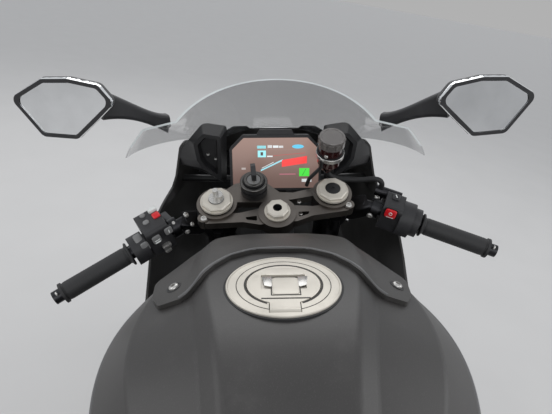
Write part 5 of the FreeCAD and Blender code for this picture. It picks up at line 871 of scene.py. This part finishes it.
for word, (middle, axis) in hubs.items():
    a, rr, yy = tyreGrid(**tyres[word])
    axis, side, other = basis(axis)
    ring = np.cos(a)[..., None] * side + np.sin(a)[..., None] * other
    grid = middle + yy[..., None] * axis + rr[..., None] * ring
    piece = gridPiece(word + "Tyre", [grid], "tyreRubber", word + "_wheel", closed=True, sharp=38)
    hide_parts(word + "_tyre")
print("tyres done")


# seat pads: blown up by cloth from a slightly smaller body, then piped along their seams;
# a row is its place along, then out and up of the crown, edge, side and foot points
pads = {
    "rider": {"node": "rider_pad", "fill": 0.7, "cross": [(470, 100), (385, 108)],
              "seam": [(548, 52), (520, 76), (430, 106), (340, 114), (304, 104)],
              "rows": [(564, 40, 836, 58, 828, 70, 810, 66, 792),
                       (520, 58, 832, 84, 824, 100, 802, 92, 779),
                       (430, 84, 828, 116, 820, 134, 796, 124, 766),
                       (340, 92, 842, 124, 834, 140, 806, 128, 779),
                       (297, 84, 871, 112, 861, 128, 826, 118, 789)]},
    "passenger": {"node": "passenger_pad", "fill": 0.7, "cross": [(140, 78), (30, 66)],
                  "seam": [(252, 72), (150, 80), (20, 68), (-80, 40)],
                  "rows": [(261, 60, 923, 84, 915, 96, 900, 88, 886),
                           (150, 66, 939, 90, 931, 104, 914, 96, 899),
                           (20, 54, 951, 78, 943, 90, 926, 84, 911),
                           (-89, 30, 955, 48, 949, 58, 936, 54, 924)]},
}


def padBody(rows, inset, around=44, along=60):
    # section through crown, edge, side and foot points on both hands, eased along its length;
    # every ring is pulled towards its own middle by the inset
    rows = np.array(rows, float)[::-1]
    x = np.linspace(rows[0, 0] + inset, rows[-1, 0] - inset, along)
    data = np.stack([np.interp(x, rows[:, 0], rows[:, i]) for i in range(1, 9)], 1)
    for _ in range(6):
        data[1:-1] = (data[:-2] + 2 * data[1:-1] + data[2:]) / 4
    y, z = data[:, 0::2], data[:, 1::2]
    left = np.stack([y, z], 2)
    loop = np.concatenate([left[:, ::-1], left * (-1, 1), np.stack([y[:, 3:] * -0.4, z[:, 3:]], 2),
                           np.stack([y[:, 3:] * 0.4, z[:, 3:]], 2)], 1)
    close = np.concatenate([loop, loop[:, :1]], 1)
    reach = np.linspace(0, close.shape[1] - 1, around, endpoint=False)
    low = reach.astype(int)
    part = (reach - low)[None, :, None]
    ring = close[:, low] * (1 - part) + close[:, low + 1] * part
    for _ in range(3):
        ring = (np.roll(ring, 1, 1) + 2 * ring + np.roll(ring, -1, 1)) / 4
    middle = ring.mean(1, keepdims=True)
    away = ring - middle
    size = np.linalg.norm(away, axis=2, keepdims=True)
    ends = np.clip(np.minimum(np.arange(along), np.arange(along)[::-1]) / 5.0, 0, 1)[:, None, None]
    ring = middle + away * (1 - inset / size) * np.sqrt(1 - (1 - ends) ** 2 * 0.5)
    grid = np.concatenate([np.broadcast_to(x[:, None, None], ring.shape[:2] + (1,)), ring], 2)
    return inBike(grid)


swell = {"voxel": 0.005, "pressure": 4, "tension": 12, "frames": 20, "inset": 3.0, "cap": 5.0}
sew = {"radius": 0.9, "step": 0.0055, "aside": 0.0042, "lift": 0.0003, "thread": 0.00045,
       "shape": ((-0.0018, 0.3), (-0.0012, 1), (0.0012, 1), (0.0018, 0.3))}


def readPoints(mesh):
    points = np.zeros(len(mesh.vertices) * 3)
    mesh.vertices.foreach_get("co", points)
    return points.reshape(-1, 3)


def madeMesh(piece):             # the piece's mesh with its modifiers worked in
    return bpy.data.meshes.new_from_object(piece.evaluated_get(bpy.context.evaluated_depsgraph_get()))


def bakeModifiers(piece):
    made, finish = madeMesh(piece), piece.data.materials[0]
    made.materials.clear()
    made.materials.append(finish)
    piece.modifiers.clear()
    piece.data = made


def blowUp(piece):               # voxel remesh, pressure cloth, each point held within the cap
    scene = bpy.context.scene
    remesh = piece.modifiers.new("even", "REMESH")
    remesh.mode, remesh.voxel_size = "VOXEL", swell["voxel"]
    bakeModifiers(piece)
    start = readPoints(piece.data)
    cloth = piece.modifiers.new("swell", "CLOTH")
    cloth.settings.use_pressure = True
    cloth.settings.uniform_pressure_force = swell["pressure"]
    cloth.settings.effector_weights.gravity = 0
    cloth.settings.tension_stiffness = swell["tension"]
    cloth.point_cache.frame_start, cloth.point_cache.frame_end = 1, swell["frames"]
    for step in range(1, swell["frames"] + 1):
        scene.frame_set(step)
    bakeModifiers(piece)
    scene.frame_set(1)
    move = readPoints(piece.data) - start
    far = np.linalg.norm(move, axis=1, keepdims=True)
    held = start + move * np.minimum(1, swell["cap"] * stance["mm"] / np.maximum(far, 1e-9))
    piece.data.vertices.foreach_set("co", held.ravel())
    piece.data.update()


def stitchGrid(skin, start, end, hand):
    # a short thread beside the seam: rings of six points round its run, drawn in at both ends
    at, normal = [np.array(v) for v in skin.find_nearest(Vector((start + end) / 2))[:2]]
    run, side, other = basis(end - start)
    foot = at - np.cross(normal, run) * hand * sew["aside"] + normal * sew["lift"]
    a = np.linspace(0, 2 * math.pi, 6, endpoint=False)[:, None]
    girth = (np.cos(a) * side + np.sin(a) * other) * sew["thread"]
    return np.array([foot + run * along + girth * share for along, share in sew["shape"]])


for word, pad in pads.items():
    piece = gridPiece(word + "Pad", [padBody(pad["rows"], swell["inset"])], "vinyl", "chassis", sharp=0)
    blowUp(piece)
    soft = piece.modifiers.new("soft", "SUBSURF")
    soft.levels = soft.render_levels = 1
    piece.data.polygons.foreach_set("use_smooth", np.ones(len(piece.data.polygons), bool))
    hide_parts(pad["node"])
    skin = treeOf(madeMesh(piece))
    top = max(row[2] for row in pad["rows"]) + 30
    a = np.linspace(0, 2 * math.pi, 8, endpoint=False)
    cord = np.stack([np.cos(a), np.sin(a)], 1) * sew["radius"] + (0, 0.5)
    piping, stitches = [], []
    for hand in (1, -1):
        path = droppedPath(skin, [(x, hand * y, top) for x, y in pad["seam"]], (0, 0, -1))
        piping.append(stripGrid(skin, path, cord, 0.005))
        laid = evenPath(path, sew["step"])
        stitches += [stitchGrid(skin, start, end, hand) for start, end in zip(laid, laid[1:])]
    for x, y in pad["cross"]:
        path = droppedPath(skin, [(x + 6 * (q / y) ** 2, q, top) for q in np.linspace(-y, y, 15)], (0, 0, -1))
        piping.append(stripGrid(skin, path, cord, 0.005))
    gridPiece(word + "Piping", piping, "darkPlastic", "chassis", sharp=0)
    gridPiece(word + "Stitches", stitches, "threadGrey", "chassis", sharp=0)
print("pads done")

# radiator: flat tubes and pleated fins on both faces
core = {"foot": (1122, 442), "top": (1152, 700), "half": 160, "tubes": 26, "fins": 107, "tubeFace": 14.5,
        "finFace": 14.3, "margin": 8}
tubes, fins = [], []
for face in (1, -1):
    for t in np.linspace(0.04, 0.96, core["tubes"]):
        x, z = [core["foot"][i] + (core["top"][i] - core["foot"][i]) * t for i in (0, 1)]
        path = [(x + face * core["tubeFace"], y, z) for y in (-core["half"], 0, core["half"])]
        tubes.append(lineGrid(inBike(path), 2.4, 3.0, bikeTurn[:, 2]))
    for y in np.linspace(-core["half"], core["half"], core["fins"]):
        low, high = [np.array((core[end][0] + face * core["finFace"], y, core[end][1] + margin))
                     for end, margin in (("foot", core["margin"]), ("top", -core["margin"]))]
        fins.append(lineGrid(inBike([low, (low + high) / 2, high]), 0.6, 1.6, bikeTurn[:, 0]))
gridPiece("radiatorTubes", tubes, "finBlack", "chassis", sharp=60)
gridPiece("radiatorFins", fins, "darkAlloy", "chassis", sharp=60)

# disc bolts: a ring of button heads on each disc's outer face
discs = {"front": {"y": (68, -68), "r": 62, "count": 6}, "rear": {"y": (-74,), "r": 46, "count": 5}}
discBolt = {"proud": 2.2, "r": 5.5}
for word, (middle, axis) in hubs.items():
    axis, side, other = basis(axis)
    grids = []
    for y in discs[word]["y"]:
        out = math.copysign(1, y)
        for a in np.linspace(0, 2 * math.pi, discs[word]["count"], endpoint=False):
            ring = (side * math.cos(a) + other * math.sin(a)) * discs[word]["r"]
            place = middle + (axis * (y + out * discBolt["proud"]) + ring) * stance["mm"]
            grids.append(screwGrid(place, axis * out, discBolt["r"] * stance["mm"]))
    gridPiece(word + "DiscBolts", grids, "darkAlloy", word + "_wheel")
print("running gear done")

# lips in a pale painted highlight and panel gaps as dark strips of painted shade, laid on the CAD skins
tankSkin, trimSkin, sideSkin = skinOf("fuel_tank"), skinOf("tank_trim"), skinOf("side_fairings")
shoulder = [(1040, 162, 884), (1000, 182, 888), (960, 196, 892), (910, 208, 898), (870, 216, 902),
            (820, 214, 903), (780, 208, 902), (740, 196, 894), (700, 178, 884), (660, 150, 864)]
lipShape = [(-3.6, -1.2), (3.6, -1.2), (3.0, 1.4), (1.6, 2.4), (-1.6, 2.4), (-3.0, 1.4)]
trimEdge = [(865, 148), (865, 121), (882, 100), (914, 87), (942, 68.5), (962, 38), (966, 0)]
trimShape = [(-1.8, -0.8), (1.8, -0.8), (1.4, 0.9), (0.6, 1.3), (-0.6, 1.3), (-1.4, 0.9)]
gapShape = [(-2.0, -0.6), (2.0, -0.6), (2.0, 0.3), (-2.0, 0.3)]
sideGaps = {"upper": [(1330, 800), (1260, 770), (1180, 745), (1060, 728), (940, 700), (820, 664), (720, 610)],
            "lower": [(1290, 560), (1200, 470), (1080, 420), (940, 400), (820, 392), (720, 396)]}
# the shoulder and trim lips are pale beads: a painted highlight along the edges
lips = [stripGrid(tankSkin, inBike(np.array(shoulder) * (1, hand, 1)), lipShape, 0.01, 6) for hand in (1, -1)]
gridPiece("tankLips", lips, "lipPaint", "chassis", sharp=60)
around = [(x, y, 1000) for x, y in trimEdge] + [(x, -y, 1000) for x, y in trimEdge[::-1][1:]]
edge = droppedPath(trimSkin, around, (0, 0, -1), 0.2)
gridPiece("trimLip", [stripGrid(trimSkin, edge, trimShape, 0.005, 2)], "lipPaint", "chassis", sharp=60)
# near-black strips laid along the side fairing's panel gaps: painted shade between the panels
gaps = []
for points in sideGaps.values():
    for hand in (1, -1):
        path = droppedPath(sideSkin, [(x, 0, z) for x, z in points], (0, -hand, 0), 0.5)
        if len(path) > 2:
            gaps.append(stripGrid(sideSkin, path, gapShape, 0.01))
gridPiece("fairingGapShade", gaps, "gapLine", "chassis", sharp=60)


# fasteners on the sides of the bike
def sideBolts(name, nodes, where, finish, body, hands, rows, kind=screwGrid):
    # each row is x, z and radius; the bolt is pushed in from that side until it meets the nodes' skin,
    # and stands partly along the push and partly along the skin's normal
    skin = skinOf(*nodes)
    place, turn = frames[where]
    grids = []
    for hand in hands:
        push = Vector(turn @ np.array((0, -hand, 0.0)))
        for x, z, r in rows:
            hit, normal = skin.ray_cast(Vector(place((x, hand * 420, z))), push)[:2]
            if hit is not None:
                grids.append(kind(np.array(hit), -np.array(push) * 0.6 + np.array(normal) * 0.4,
                                  r * stance["mm"]))
    gridPiece(name, grids, finish, body)


def flangedNut(place, axis, r):
    return nutGrid(place, axis, r, r * 0.9)


both = (1, -1)
sprocketRing = [(47 * math.cos(a), 320 + 47 * math.sin(a), 5.5) for a in np.radians(np.arange(0, 360, 60))]
fasteners = {                    # CAD nodes, frame, finish, body, hands, rows
    "fairingScrews": (("side_fairings", "nose_fairing"), "bike", "alloy", "chassis", both, [
        (1400, 900, 4.6), (1340, 820, 4.6), (1220, 800, 4.6), (1060, 740, 4.6), (1290, 690, 4.6),
        (1230, 530, 4.6), (1120, 420, 4.6), (900, 372, 4.6), (780, 560, 4.6), (840, 660, 4.6)]),
    "bellyScrews": (("belly_pan",), "bike", "alloy", "chassis", both, [
        (1100, 250, 4.6), (900, 230, 4.6), (740, 220, 4.6)]),
    "tailScrews": (("tail_cowl",), "bike", "alloy", "chassis", both, [
        (240, 850, 4.2), (60, 878, 4.2), (-120, 900, 4.2)]),
    "frameBolts": (("main_frame", "rearsets", "swingarm", "subframe"), "bike", "darkAlloy", "chassis", both, [
        (618, 470, 7), (560, 452, 6), (520, 424, 6), (620, 352, 6), (1010, 640, 8), (760, 560, 7),
        (1120, 760, 7)]),
    "tankBolts": (("fuel_tank",), "bike", "alloy", "chassis", both, [(600, 800, 4.6)]),
    "sprocketNuts": (("rear_sprocket",), "bike", "brightSteel", "rear_wheel", (1,), sprocketRing, flangedNut),
    "caliperBolts": (("front_calipers",), "fork", "brightSteel", "fork", both, [
        (-46, 122, 6), (-84, 60, 6), (-64, 92, 4)]),
    "rearCaliperBolts": (("rear_caliper",), "bike", "brightSteel", "chassis", (-1,), [
        (60, 378, 5), (88, 360, 5)]),
    "legPinchBolts": (("fork_legs",), "fork", "brightSteel", "fork", both, [(46, -14, 4.4), (46, 14, 4.4)]),
}
for name, row in fasteners.items():
    sideBolts(name, *row)
adjusters = [(-53, y, 322, -1, 0, 0, 6) for y in (143, -143)]
screwPiece("chainAdjusters", adjusters, "bike", "brightSteel", "chassis")
print("fasteners done")

# floor, light and camera
studio = {"floorHalf": 400, "floorColour": (0.56, 0.555, 0.55), "backdrop": (0.44, 0.44, 0.44),
          "world": 0.75}
floorMesh = bpy.data.meshes.new("floor")
h = studio["floorHalf"]
floorMesh.from_pydata([(-h, -h, 0), (h, -h, 0), (h, h, 0), (-h, h, 0)], [], [(0, 1, 2, 3)])
floorPiece = linked("floor", floorMesh)
floorFinish = Finish("floorFinish", Roughness=0.55)
floorFinish.set("Base Color", floorFinish.mix(floorFinish.noise(3, 4).band(0.2, 0.8),
                                              shade(studio["floorColour"], 0.97), studio["floorColour"]))
floorMesh.materials.append(floorFinish.material)

world = bpy.context.scene.world or bpy.data.worlds.new("world")
bpy.context.scene.world = world
world.use_nodes = True
skyTree = world.node_tree
light = skyTree.nodes["Background"]
light.inputs["Color"].default_value = (0.88, 0.90, 0.93, 1)
light.inputs["Strength"].default_value = studio["world"]
plain = skyTree.nodes.new("ShaderNodeBackground")
plain.inputs["Color"].default_value = (*studio["backdrop"], 1)
rays, pick = skyTree.nodes.new("ShaderNodeLightPath"), skyTree.nodes.new("ShaderNodeMixShader")
seen = skyTree.nodes.new("ShaderNodeMath")
seen.operation = "MAXIMUM"
skyTree.links.new(rays.outputs["Is Camera Ray"], seen.inputs[0])
skyTree.links.new(rays.outputs["Is Transmission Ray"], seen.inputs[1])
skyTree.links.new(seen.outputs[0], pick.inputs[0])
skyTree.links.new(light.outputs[0], pick.inputs[1])
skyTree.links.new(plain.outputs[0], pick.inputs[2])
skyTree.links.new(pick.outputs[0], skyTree.nodes["World Output"].inputs["Surface"])


def softbox(name, place, target, size, power, colour=(1, 1, 1)):
    data = bpy.data.lights.new(name, "AREA")
    data.shape, data.size, data.size_y = "RECTANGLE", size[0], size[1]
    data.energy, data.color = power, colour
    lamp = linked(name, data)
    lamp.location = place
    lamp.rotation_euler = (Vector(target) - Vector(place)).to_track_quat("-Z", "Y").to_euler()


softbox("frontTop", (3.2, 0.4, 3.4), (0.3, 0, 0.7), (3.6, 2.4), 46)
softbox("leftSide", (-0.4, 3.6, 2.6), (0.1, 0, 0.6), (3.2, 2.2), 30)
softbox("rightSide", (-0.2, -3.8, 2.4), (0.1, 0, 0.6), (3.2, 2.2), 34)
softbox("backTop", (-3.4, -0.3, 2.8), (0, 0, 0.6), (3.2, 2.2), 30)

shot = {"place": (492.2, 17.2, 1293.9), "down": 28.06, "right": 1.32, "lens": 27.0}
down, right = math.radians(shot["down"]), math.radians(shot["right"])
forward = np.array([math.cos(down) * math.cos(right), -math.sin(right) * math.cos(down), -math.sin(down)])
across = np.array([-math.sin(right), -math.cos(right), 0.0])
upward = np.cross(across, forward)
turnCam = bikeTurn @ np.stack([across, upward, -forward], 1)
cameraData = bpy.data.cameras.new("camera")
cameraData.lens, cameraData.sensor_width = shot["lens"], 36.0
cameraData.clip_start = 0.02
camera = linked("camera", cameraData)
camera.matrix_world = Matrix.Translation(inBike(shot["place"])) @ Matrix(turnCam.tolist()).to_4x4()
bpy.context.scene.camera = camera
bpy.context.scene.view_settings.view_transform = "Standard"
print("stage set")
